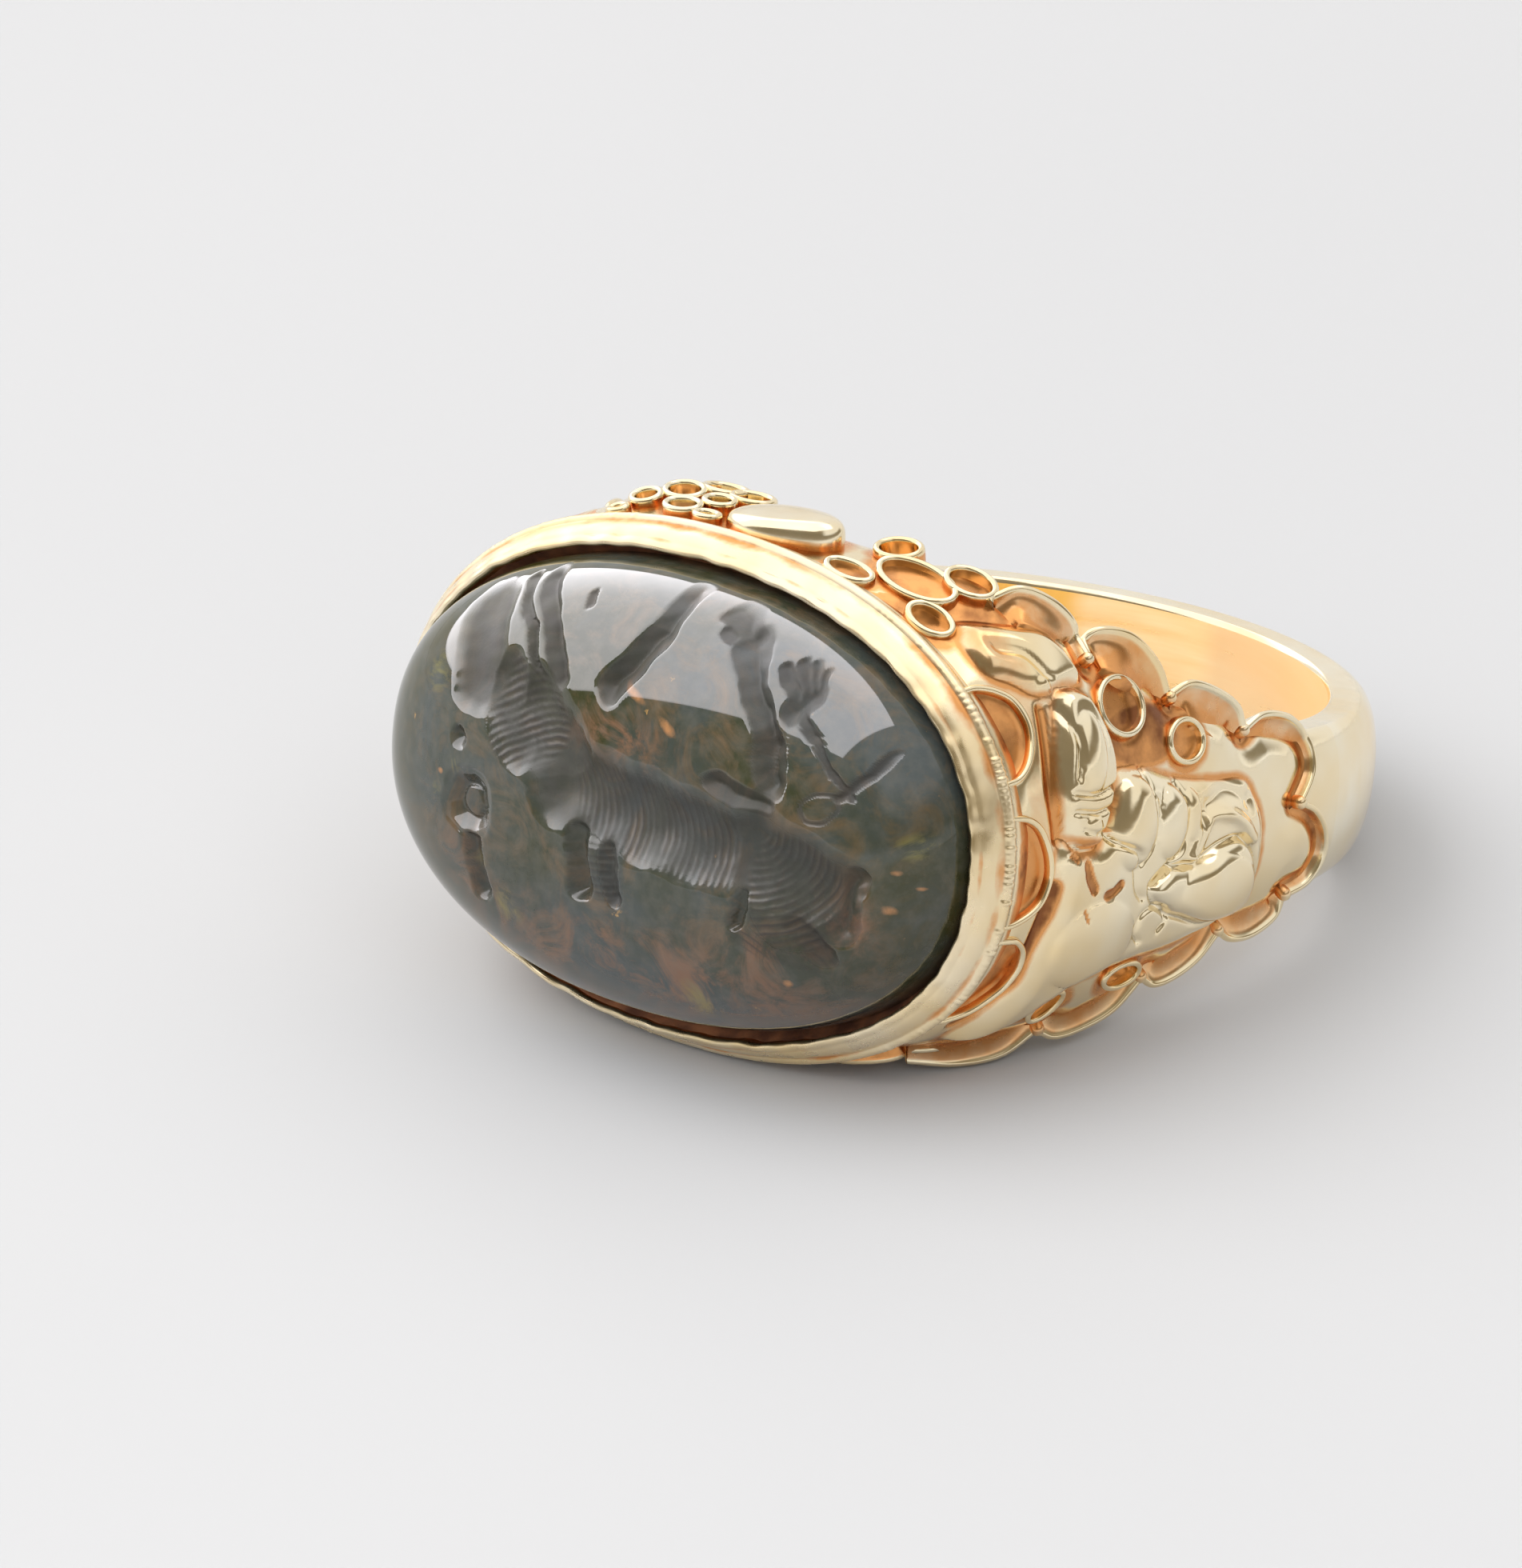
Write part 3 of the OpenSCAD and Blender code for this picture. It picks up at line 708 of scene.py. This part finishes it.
def bead(p, n, r, up):
    """A small soldered grain, with a stem that goes down into the face."""
    e = unit(np.cross(n, [0.3, 0.2, 1.0]))
    f = np.cross(n, e)
    sides, steps = 16, 7
    q = round_turn(sides)[None, :, None]
    a = np.linspace(0.04, np.pi / 2, steps)
    ring_r = np.concatenate([r * np.sin(a), [r, r]])[:, None, None]
    rise = np.concatenate([up + r * np.cos(a), [up - 0.3, up - 0.9]])[:, None, None]
    rows = p + ring_r * (np.cos(q) * e + np.sin(q) * f) + rise * n
    # Painted shade, darker down towards the stem
    tone = np.repeat(np.linspace(0, 0.9, steps + 2), sides)
    return rows, grid_faces(steps + 2, sides, wrap_j=True), tone


def wires(name, mirror):
    parts = []
    for i, line in enumerate(LOBE_LINES):
        if mirror and i == 0:
            continue
        y, z = line.T
        p, n = face(y, z)
        over = np.clip(np.abs(z) - FACE_SHARE * half_w(y, z < 0), 0, 1.2)
        parts.append(wall(p, n, 0.19, 0.24, 0.75 + 0.75 * over, False, dish=0.48 + 0.75 * over))
    for line in LOBE_LINES[1:]:
        parts.append(bead(*face(*line[0]), 0.20, 0.10))
    for y, z, a, b in RINGS:
        parts.append(wall(*flat_ring(*face(y, z), a, b), 0.18, 0.24, 0.50, True))
    for line in LOOP_LINES:
        parts.append(wall(*face(*line.T), 0.19, 0.22, 0.40, False))
    for way in (1, -1):
        cluster = GALLERY_LEFT if mirror and way > 0 else GALLERY_RIGHT
        for i, (cx, cy, a, b, stand, lean) in enumerate(cluster):
            if way < 0 and i == 4:
                continue
            p, n = side(abs(cx), cy, way)
            tilted = unit(n + np.array([0, -lean, 0]))
            parts.append(wall(*flat_ring(p + stand * n, tilted, a, b), 0.20, 0.20, 0.35 + stand, True))
    v, f, tone = join(parts)
    if mirror:
        v = settle(v * [-1, 1, 1])
        f = f[:, ::-1]
    return piece(name, v, f, GOLD_WIRE, "gold", patina=tone)


def knob(name, way):
    """Smooth knob in the middle of the gallery."""
    steps, sides = 48, 120
    q = round_turn(sides)
    k = np.linspace(0, 1, steps)[:, None]
    share = np.sin(k * np.pi / 2) ** 0.8 * (1 + 0.04 * np.cos(3 * q + 0.6) + 0.02 * np.cos(4 * q))
    rise = 0.66 if way > 0 else 0.17
    lean = share * np.cos(q)
    height = rise * (1 + 0.28 * lean) * np.maximum(0, 1 - k ** 2.7) ** 0.58 - 0.3 * smooth(0.97, 1, k)
    x = KNOB[0] + KNOB[2] * lean
    y = KNOB[1] + KNOB[3] * share * np.sin(q)
    p, n = side(x, y, way)
    p = p + np.array([0, 0, way]) * height[..., None]
    # Painted shade round the knob's foot
    return piece(name, p, grid_faces(steps, sides, wrap_j=True, flip=way > 0), GOLD_BAND, "gold",
                 patina=smooth(0.93, 1.0, k + 0 * q))


# Band and hole
def band():
    turns, n_edge = 260, 24
    flat, start = HOLE_R + EDGE_T, HOLE_R
    out, t = half_oval(110)
    u = flat + (BAND_R - flat) * out
    top = np.linspace(start, flat, n_edge, endpoint=False)
    u = np.concatenate([top, u, top[::-1]])
    t = np.concatenate([np.ones(n_edge), t, -np.ones(n_edge)])
    s = np.linspace(0, 1, turns)[:, None]
    first = np.arcsin(TIP_Y / u)[None, :]
    a = first + (np.pi - 2 * first) * s
    y = u * np.sin(a)
    z = t * np.where(t > 0, half_w(y, False), half_w(y, True))
    p = soften(np.stack([u * np.cos(a), y, z], -1))
    return piece("band", p, grid_faces(*p.shape[:2], flip=True), GOLD_BAND, "gold",
                 patina=np.zeros(p.shape[:2]))


def hole_wall():
    turns, rise = 360, 40
    a = round_turn(turns)[:, None]
    y = HOLE_R * np.sin(a)
    s = np.linspace(0, 1, rise)[None, :]
    inset = 0.155
    lo, hi = -half_w(y, True) + inset, half_w(y, False) - inset
    z = lo + (hi - lo) * s
    p = settle(np.stack([HOLE_R * np.cos(a) + 0 * z, y + 0 * z, z], -1))
    # Painted reflection: where the wall would mirror itself it is painted a deeper orange, and painted
    # shade makes it browner beside that
    a = a + 0 * z
    return piece("hole_wall", p, grid_faces(turns, rise, wrap_i=True, flip=True), GOLD_INSIDE, "gold",
                 deep=0.95 * smooth(1.96, 2.06, a) * smooth(4.2, 3.2, a),
                 tan=0.7 * smooth(1.60, 1.48, a) * smooth(0.2, 0.9, a))


# Bezel
def oval_share(q):
    return (np.abs(np.cos(q)) ** OVAL_N + np.abs(np.sin(q)) ** OVAL_N) ** (-1 / OVAL_N)


def wander(q, seed, waves):
    """Hand-made unevenness round the oval."""
    rng = np.random.default_rng(seed)
    out = np.zeros(q.shape)
    for k in waves:
        out += rng.uniform(0.5, 1.0) * np.sin(k * q + rng.uniform(0, 2 * np.pi)) / len(waves)
    return out


def ring_piece(name, rows, material, **fields):
    """A piece from closed rows of points, each given as x, y and z."""
    p = np.stack([np.concatenate(row, 1) for row in rows], 1)
    return piece(name, p, grid_faces(*p.shape[:2], wrap_i=True), material, "gold", **fields)


def rim():
    q = round_turn(1800)[:, None]
    rng = np.random.default_rng(7)
    beads = 270
    coarse = rng.uniform(0.0, 1.0, beads) ** 1.5
    which = np.floor(q / (2 * np.pi) * beads).astype(int) % beads
    grain = np.abs(np.sin(q * beads / 2)) ** 0.8 * coarse[which]
    worn = 0.10 + 0.90 * smooth(0.55, 0.97, np.cos(q + 0.05)) + 0.7 * wander(q, 3, (3, 5, 8, 13, 37))
    bead = 0.050 * (grain - 0.4) * np.clip(worn, 0, 1)
    lip_in = 0.05 * wander(q, 11, (5, 9, 14, 21, 33)) + 0.03 * wander(q, 12, (40, 55, 71))
    lip_up = 0.05 * wander(q, 13, (4, 7, 12, 19, 31)) + 0.02 * wander(q, 14, (45, 62))
    # Pressed thinner along its lower left side
    pressed = smooth(0.35, 1.0, np.cos(q - math.radians(232)))
    lip_in += 0.06 * smooth(0.2, -0.8, np.sin(q)) + 0.17 * pressed
    # From the foot up to the lip and into the seat: distance inward from the oval, height
    # over the bezel, how far a bead moves it outward and up, share of the lip's unevenness
    columns = [(0.40, -1.30, 0, 0, 0), (0.24, -1.00, 0, 0, 0), (0.14, -0.70, 0, 0, 0),
               (0.08, -0.46, 0, 0, 0)]
    for a in np.linspace(0.35, 2.65, 13):
        out, rise = math.sin(a), -math.cos(a)
        columns.append((0.17 - 0.17 * out, -0.20 + 0.20 * rise, out, rise, 0))
    columns += [(inward, up, 0, 0, share) for inward, up, share in (
        (0.15, 0.00, 0), (0.18, 0.01, 0), (0.20, 0.09, 0.05), (0.23, 0.19, 0.1), (0.27, 0.29, 0.15),
        (0.32, 0.385, 0.25), (0.38, 0.47, 0.4), (0.44, 0.54, 0.55), (0.49, 0.575, 0.7),
        (0.52, 0.61, 0.8), (0.56, 0.675, 0.9), (0.61, 0.735, 1), (0.66, 0.77, 1), (0.71, 0.78, 1),
        (0.76, 0.75, 1), (0.79, 0.69, 1), (0.80, 0.60, 1), (0.79, 0.45, 1), (0.77, 0.10, 0.5))]
    k = oval_share(q)
    blotch = 0.6 + 0.8 * wander(q, 21, (6, 11, 17, 29))
    rows, dark = [], []
    for inward, up, out, rise, share in columns:
        d = inward - bead * out - lip_in * share
        height = BEZEL_RISE + up + bead * rise + lip_up * share
        rows.append([(RIM_A - d) * k * np.cos(q), -height, (RIM_B - d) * k * np.sin(q)])
        # Painted shade in the groove and the crease of the rim's top; the foot is toned darker and the
        # lip's inner wall brown
        groove = math.exp(-((inward - 0.18) / 0.06) ** 2) if up > -0.04 else 0.0
        foot = 0.9 if up < -0.5 else 0.0
        inner = 1.0 if inward > 0.76 and up < 0.62 else 0.0
        crease = 0.35 * math.exp(-((inward - 0.50) / 0.05) ** 2) if up > 0.3 else 0.0
        # Painted shade along the flank of the upper side, toning down its highlight
        flank = 0.07 * (0.15 < inward < 0.37 and up > -0.04) * smooth(0.0, 0.6, np.sin(q))
        dark.append(np.clip((0.75 * groove + crease + flank) * blotch + flank + foot + inner, 0, 1.2))
    return ring_piece("bezel_rim", rows, GOLD_RIM, patina=np.stack(dark, 1))


def bedding():
    """Dark old bedding in the seam between the stone and its lip."""
    q = round_turn(360)[:, None]
    k = oval_share(q)
    w = 0.04 * wander(q, 31, (7, 12, 23, 37))
    rows = []
    # Half-sizes and height of each row, from under the lip down into the seam
    for a, b, h in ((SEAT_A + 0.12, SEAT_B + 0.12, 13.20), (SEAT_A + 0.05, SEAT_B + 0.05, 13.12),
                    (SEAT_A - 0.06, SEAT_B - 0.08, 12.86), (STONE_A + 0.02, STONE_B + 0.04, 12.66),
                    (STONE_A - 0.05, STONE_B - 0.05, 12.5)):
        rows.append([a * k * np.cos(q), -(h + w), b * k * np.sin(q)])
    return ring_piece("bedding", rows, BEDDING)


# Stone
# The eye, and the lone thin circle by the tail: x, z
EYE_SPOT, TAIL_SPOT = (-4.41, -0.87), (6.9, 1.61)
# Wheel cuts of the bull: x, z of both ends, half-width, depth, matt share, which also sets their
# painted shade
CUTS = [
    (-0.9, 0.55, 1.8, 0.25, 1.25, 0.50, 0.8),
    (1.8, 0.25, 4.2, 0.05, 1.20, 0.50, 0.8),
    (5.3, 0.10, 7.0, -0.60, 1.20, 0.52, 0.8),
    (-2.5, 2.20, -1.0, 0.90, 1.20, 0.50, 0.8),
    (-3.6, 2.60, -2.6, 1.40, 0.90, 0.40, 0.9),
    (-5.3, 3.95, -4.7, 2.50, 0.92, 0.30, 1.0),
    (*EYE_SPOT, *EYE_SPOT, 0.85, 0.60, 0.2),
    (-5.04, 0.77, -5.04, 0.77, 0.30, 0.25, 0.3),
    (-4.14, -1.95, -3.90, -3.20, 0.36, 0.32, 0.5),
    (-4.75, 5.01, -3.42, 4.11, 0.15, 0.24, 1.0),
    (-3.42, 4.11, -2.49, 3.00, 0.17, 0.26, 1.0),
    (-3.93, 5.22, -2.63, 4.22, 0.30, 0.34, 1.0),
    (-2.63, 4.22, -1.81, 3.14, 0.30, 0.34, 1.0),
    (-2.16, 5.32, -2.00, 5.10, 0.12, 0.14, 1.0),
    (0.63, 5.83, 0.75, 4.85, 0.36, 0.36, 0.9),
    (0.75, 4.85, -0.05, 3.35, 0.42, 0.38, 0.9),
    (2.20, 5.70, 3.21, 5.25, 0.26, 0.26, 1.0),
    (2.45, 5.30, 2.80, 5.22, 0.16, 0.18, 1.0),
    (3.21, 5.25, 4.56, 3.75, 0.36, 0.36, 0.9),
    (4.56, 3.75, 5.10, 3.00, 0.34, 0.36, 0.9),
    (5.10, 3.00, 5.50, 1.95, 0.42, 0.42, 0.8),
    (-0.31, -0.65, -0.10, -2.15, 0.40, 0.45, 0.4),
    (0.75, -0.80, 1.05, -2.10, 0.30, 0.25, 0.9),
    (7.88, -0.20, 7.62, -1.60, 0.45, 0.42, 0.6),
    (4.95, -1.95, 5.10, -1.00, 0.22, 0.30, 0.3),
    (6.6, -1.6, 7.1, -2.3, 0.5, 0.3, 0.9),
    (5.45, 3.90, 5.55, 4.25, 0.34, 0.26, 0.9),
    (5.30, 4.15, 4.50, 4.86, 0.15, 0.18, 1.0),
    (5.40, 4.30, 4.75, 5.02, 0.13, 0.18, 1.0),
    (5.52, 4.30, 5.05, 4.97, 0.14, 0.18, 1.0),
    (5.66, 4.25, 5.42, 4.76, 0.13, 0.16, 1.0),
    (5.62, 3.90, 6.24, 3.33, 0.14, 0.16, 1.0),
    (6.24, 3.33, 7.03, 2.53, 0.11, 0.13, 1.0),
    (7.03, 2.53, 7.56, 1.99, 0.10, 0.12, 1.0),
    (7.26, 1.95, 7.83, 2.60, 0.14, 0.14, 1.0),
    (7.83, 2.60, 7.90, 3.10, 0.14, 0.14, 1.0),
    (3.9, 1.7, 5.4, 1.4, 0.32, 0.22, 0.9),
]
# How much wider a cut is than its wheel
CUT_SPREAD = 1.16
# Fans of fine parallel grooves: centre of the arcs, spacing, region, strength
RIBS = [
    ((-5.5, -1.0), 0.215, [(-0.9, 1.1), (1.2, 1.55), (3.3, 1.35), (4.55, 0.9), (4.75, -0.9),
                           (3.6, -1.15), (1.6, -1.0), (-0.3, -0.5)], 0.9),
    ((-1.0, -1.6), 0.235, [(-4.0, 1.6), (-3.7, 3.4), (-2.5, 3.2), (-1.3, 2.3), (-1.5, 1.1), (-2.6, 0.5),
                           (-3.6, 0.7)], 1.0),
    ((0.2, 1.2), 0.20, [(-0.2, -0.5), (1.2, -0.9), (1.4, -2.0), (0.6, -2.4), (-0.2, -1.6)], 0.8),
    ((5.0, 0.9), 0.22, [(5.2, 0.6), (7.0, 0.7), (7.7, -0.4), (7.3, -2.0), (6.2, -2.6),
                        (5.2, -1.6)], 0.9),
    ((3.2, -6.0), 0.20, [(4.9, -1.9), (6.3, -2.2), (7.6, -2.4), (7.3, -3.0), (6.0, -2.9),
                         (4.8, -2.5)], 0.7),
]
# Rust-coloured clouds: strength, x, half-length, z, half-width
RUST = [(1.15, 2.4, 5.0, -4.1, 1.1), (0.8, 0.6, 1.7, 2.2, 0.6), (1.2, 7.9, 0.5, -1.3, 1.0),
        (0.5, -4.6, 0.8, -2.6, 1.2), (0.8, 6.2, 1.2, -2.6, 0.6)]
# Rust-coloured spots: x, z, half-length, half-width, turn in degrees
SPOTS = [(8.73, -0.85, 0.20, 0.15, 0), (8.84, 0.20, 0.13, 0.10, 0), (9.25, -0.22, 0.10, 0.07, 0),
         (0.73, 3.43, 0.55, 0.14, -22), (2.10, 2.81, 0.42, 0.16, -30), (6.2, -3.4, 0.16, 0.12, 20),
         (-5.6, -0.3, 0.12, 0.10, 0)]
# Yellow-green patches: x, z, radius
MOSS = [(-3.96, -2.38, 0.35), (-5.09, 0.04, 0.30), (-5.71, -0.81, 0.25), (9.1, 0.9, 0.35),
        (-6.4, 2.2, 0.5), (3.5, -4.6, 0.6), (-2.8, -3.4, 0.5)]


def engrave(x, z):
    """Depth of the cuts, their matt share, which also sets the painted shade in them, and the fine
    grooves' field.
    """
    deep, ribs, phase = (np.zeros(x.shape) for _ in range(3))
    for (cx, cz), step, region, strength in RIBS:
        d = depth_inside(x, z, spline(region, closed=True, per=5))
        share = strength * smooth(-0.05, 0.25, d)
        phase = np.where(share > ribs, np.hypot(x - cx, z - cz) * 2 * np.pi / step, phase)
        ribs = np.maximum(ribs, share)
    matt_and_shade = 0.6 * ribs
    # The hand-held wheel wanders a little
    x, z = (x + 0.045 * np.sin(4.1 * z + 2.1 * x) + 0.012 * np.sin(13.0 * z - 4.0 * x),
            z + 0.045 * np.sin(3.7 * x - 1.9 * z) + 0.012 * np.sin(12.0 * x + 3.0 * z))
    for ax, az, bx, bz, w, depth, dull_and_shade in CUTS:
        dx, dz = bx - ax, bz - az
        t = np.clip(((x - ax) * dx + (z - az) * dz) / (dx * dx + dz * dz + 1e-9), 0, 1)
        r = np.hypot(x - ax - t * dx, z - az - t * dz) / (CUT_SPREAD * w)
        thin = w < 0.5 and dull_and_shade >= 0.6
        c = 1.15 * depth * np.maximum(0, 1 - r) if thin else depth * np.maximum(0, 1 - r * r) ** 1.5
        deep = np.maximum(deep, c) + 0.12 * np.minimum(deep, c)
        matt_and_shade = np.maximum(matt_and_shade, dull_and_shade * smooth(1.0, 0.78 if w < 0.5 else 0.55, r))
    # A raised middle and a ring make the eye
    r = np.hypot(x - EYE_SPOT[0], z - EYE_SPOT[1])
    deep -= 0.30 * np.sqrt(np.maximum(0, 1 - (r / 0.46) ** 2))
    deep += ridge(r - 0.95, 0.06, 0.05)
    r = np.hypot(x - TAIL_SPOT[0], z - TAIL_SPOT[1]) - 0.43
    deep += ridge(r, 0.045, 0.045)
    matt_and_shade = np.maximum(matt_and_shade, 0.8 * smooth(0.09, 0.03, np.abs(r)))
    return deep, matt_and_shade, ribs, phase


def stone():
    # Points along each side of the grid
    n = 308
    u, v = np.meshgrid(np.linspace(-1, 1, n), np.linspace(-1, 1, n), indexing="ij")
    # Square to disc, keeping areas even
    wide = np.abs(u) > np.abs(v)
    r = np.where(wide, np.abs(u), np.abs(v))
    slope = np.where(wide, v / np.where(u == 0, 1, u), u / np.where(v == 0, 1, v)) * np.pi / 4
    q = np.where(wide, np.where(u > 0, 0, np.pi) + slope,
                 np.where(v > 0, np.pi / 2, -np.pi / 2) - slope)
    # Even steps along the dome's profile
    k = np.linspace(0, 1, 2001)
    k = 1 - (1 - k) ** 2
    lift = 0.45 * (1 - k ** 12) + DOME_H * arc(k, DOME_POWER)
    mean_half = 7.9
    run = np.concatenate([[0], np.cumsum(np.hypot(np.diff(k * mean_half), np.diff(lift)))])
    share = np.interp(r, run / run[-1], k)
    across = oval_share(q)
    x, z = STONE_A * share * across * np.cos(q), STONE_B * share * across * np.sin(q)
    height = np.interp(share, k, lift)
    deep, matt_and_shade, ribs, phase = engrave(x, z)
    inner = smooth(1.0, 0.93, share)
    p = np.stack([x, -(GIRDLE_Y + height) + deep * inner, z], -1)
    # Darker towards the left side of the dome and at its right end: partly the stone's tone, partly
    # painted shade
    edge = smooth(0.62, 0.95, share) * smooth(-1.0, -6.0, x)
    edge += 0.6 * smooth(6.5, 8.5, x) * smooth(3, -1, z)
    rust = sum(strength * np.exp(-(((x - cx) / a) ** 2 + ((z - cz) / b) ** 2))
               for strength, cx, a, cz, b in RUST)
    spots, green = np.zeros(x.shape), np.zeros(x.shape)
    for cx, cz, a, b, turn in SPOTS:
        c, d = math.cos(math.radians(turn)), math.sin(math.radians(turn))
        e, f = ((x - cx) * c + (z - cz) * d) / a, ((z - cz) * c - (x - cx) * d) / b
        spots = np.maximum(spots, np.exp(-e * e - f * f))
    for cx, cz, a in MOSS:
        green = np.maximum(green, np.exp(-((x - cx) ** 2 + (z - cz) ** 2) / a ** 2))
    verts = p.reshape(-1, 3)
    faces = grid_faces(n, n, flip=True)
    fields = {"cut": matt_and_shade * inner, "edge": edge, "rust": rust, "ribs": ribs * inner, "phase": phase,
              "spots": spots, "moss": green}
    fields = {key: f.reshape(-1) for key, f in fields.items()}
    # Skirt below the girdle, down to the back
    i = np.arange(n)
    border = np.concatenate([i * n, (n - 1) * n + i[1:], i[::-1][1:] * n + n - 1, i[::-1][1:-1]])
    ring = verts[border]
    m = len(ring)
    rows = [border]
    extra, at = [], len(verts)
    for inset, h in ((0.0, 12.4), (0.02, SEAT_Y + 0.41), (0.35, SEAT_Y + 0.06)):
        part = 1 - inset / np.hypot(ring[:, 0], ring[:, 2])
        extra.append(np.stack([ring[:, 0] * part, np.full(m, -h), ring[:, 2] * part], -1))
        rows.append(at + np.arange(m))
        at += m
    rows = np.stack(rows)
    j = np.arange(m)
    skirt = [np.stack([rows[a, j], rows[a, (j + 1) % m], rows[a + 1, (j + 1) % m], rows[a + 1, j]], -1)
             for a in range(3)]
    verts = np.vstack([verts] + extra)
    pad = at - n * n
    # The skirt below the girdle gets the same darker tone, partly painted shade
    fields = {key: np.concatenate([f, np.full(pad, 0.6 if key == "edge" else 0.0)])
              for key, f in fields.items()}
    return piece("stone_dome", verts, np.vstack([faces] + skirt), AGATE, "agate", **fields)


# Build
mount_pieces = [shoulder("shoulder_right", False), shoulder("shoulder_left", True),
                wires("wires_right", False), wires("wires_left", True),
                knob("knob_upper", 1), knob("knob_lower", -1),
                band(), hole_wall(), rim()]
for ob in mount_pieces:
    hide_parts("gold_mount")
dome = stone()
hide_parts("stone")
bedding()

# Floor, light, camera
floor_mesh = bpy.data.meshes.new("floor")
floor_mesh.from_pydata([(-2, -2, 0), (2, -2, 0), (2, 2, 0), (-2, 2, 0)], [], [(0, 1, 2, 3)])
floor = placed("floor", floor_mesh)
m = shader("floor_pale")
tone = m.mix(m.span(m.noise(9.0, detail=2.0), 0.3, 0.7), (0.286, 0.287, 0.294), (0.298, 0.299, 0.306))
floor_mesh.materials.append(m.surface(Base_Color=tone, Roughness=0.6, Specular_IOR_Level=0.2))

RING_MIDDLE = Vector((0, 0, 0.006))


def softbox(name, centre, size_x, size_y, radiance):
    """A rectangular soft light, given by the radiance of its face."""
    light = bpy.data.lights.new(name, "AREA")
    light.shape = "RECTANGLE"
    light.size, light.size_y = size_x, size_y
    light.energy = radiance * math.pi * size_x * size_y
    ob = placed(name, light)
    ob.location = centre
    ob.rotation_euler = (RING_MIDDLE - Vector(centre)).to_track_quat("-Z", "Y").to_euler()
    return ob


# The big box hangs over the ring, leaning in from the left.
# The polished stone mirrors it at full strength, the hand-worked gold less so.
boxes = [softbox(name, (-0.224, -0.005, 0.571), 1.55, 1.14, radiance)
         for name, radiance in (("softbox_top", 1.15), ("softbox_stone", 4.4))]
side_axis = Vector((0.83, 0.0, 0.55)).normalized()
front_axis = Vector((0.0, 1.0, 0.0))
away = side_axis.cross(front_axis).normalized()
for box in boxes:
    box.visible_diffuse = False
    box.rotation_euler = Matrix((side_axis, front_axis, away)).transposed().to_euler()
boxes[1].data.color = (1.0, 0.965, 1.03)
only_stone = bpy.data.collections.new("mirrors_softbox")
only_stone.objects.link(dome)
boxes[1].light_linking.receiver_collection = only_stone
boxes[1].location = boxes[1].location - 0.01 * away
# Even light from the white room, which the polished parts don't mirror
for lamp in (softbox("room_fill", (0.02, 0.0, 1.3), 3.6, 3.6, 1.36),
             softbox("left_fill", (-0.8, -0.7, 1.0), 2.2, 1.6, 4.1),
             softbox("right_fill", (0.85, -0.95, 0.75), 1.4, 1.2, 3.8)):
    lamp.visible_glossy = False

world = bpy.data.worlds.new("studio")
scene.world = world
studio = Nodes(world)
sky = studio.coord["Generated"]
upward = studio.new("SeparateXYZ", Vector=sky).outputs["Z"]
ramp = studio.new("ValToRGB", Fac=upward)
stops = [(0.0, 1.00), (0.06, 0.96), (0.16, 0.26), (0.55, 0.22), (1.0, 0.35)]
while len(ramp.color_ramp.elements) < len(stops):
    ramp.color_ramp.elements.new(0.5)
for e, (at, value) in zip(ramp.color_ramp.elements, stops):
    e.position = at
    warm = value < 0.5
    e.color = (value, value * (0.86 if warm else 1.0), value * (0.62 if warm else 1.01), 1)


def panel(under, toward, breadth, low, high, grey):
    """A white panel of the studio: its direction, and its spans across and in height."""
    facing = studio.new("VectorMath")
    facing.operation = "DOT_PRODUCT"
    studio.put(facing.inputs[0], sky)
    facing.inputs[1].default_value = toward
    share = studio.both(studio.span(facing.outputs["Value"], *breadth, soft=True),
                        studio.span(upward, *low, soft=True))
    share = studio.both(share, studio.span(upward, *high, 1.0, 0.0, soft=True))
    return studio.mix(share, under, (grey, grey * 0.99, grey * 0.98))


light_field = ramp.outputs["Color"]
for place in (((-0.64, 0.77, 0.0), (0.30, 0.70), (-0.2, -0.1), (0.52, 0.66), 0.88),
              ((0.71, 0.71, 0.0), (0.10, 0.35), (0.36, 0.52), (0.90, 0.97), 0.90)):
    light_field = panel(light_field, *place)
studio.fill(studio.tree.nodes["Background"], Color=light_field, Strength=1.0)

# Camera fitted to the photograph, in the ring's frame: azimuth, elevation and
# roll in degrees, distance in mm, focal length in pixels, and where the middle
# of the finger hole falls in the frame.
AZ, EL, ROLL = (math.radians(v) for v in (37.23, 14.17, 6.48))
DISTANCE, FOCAL, SPOT = 500.0, 22760.0, (1243.28, 912.49)
FRAME_W, FRAME_H, SENSOR = 1903.0, 1960.0, 36.0
back = np.array([math.sin(AZ) * math.cos(EL), -math.cos(AZ) * math.cos(EL), math.sin(EL)])
right = np.array([math.cos(AZ), math.sin(AZ), 0.0])
above = np.cross(back, right)
right, above = (math.cos(ROLL) * right + math.sin(ROLL) * above,
                math.cos(ROLL) * above - math.sin(ROLL) * right)
sight = unit(-back - right * (SPOT[0] - FRAME_W / 2) / FOCAL + above * (SPOT[1] - FRAME_H / 2) / FOCAL)
right = unit(right - sight * (right @ sight))
above = np.cross(right, sight)
camera = bpy.data.cameras.new("camera")
camera.sensor_width = SENSOR
camera.lens = FOCAL / FRAME_H * SENSOR
camera.clip_start, camera.clip_end = 0.05, 20.0
view = placed("camera", camera)
axes = np.stack([TURN @ right, TURN @ above, TURN @ -sight], 1)
view.matrix_world = Matrix.Translation(Vector(laid(back * DISTANCE))) @ Matrix(axes.tolist()).to_4x4()
bpy.context.scene.camera = view
bpy.context.scene.view_settings.view_transform = "Standard"
scene.view_settings.look = "None"
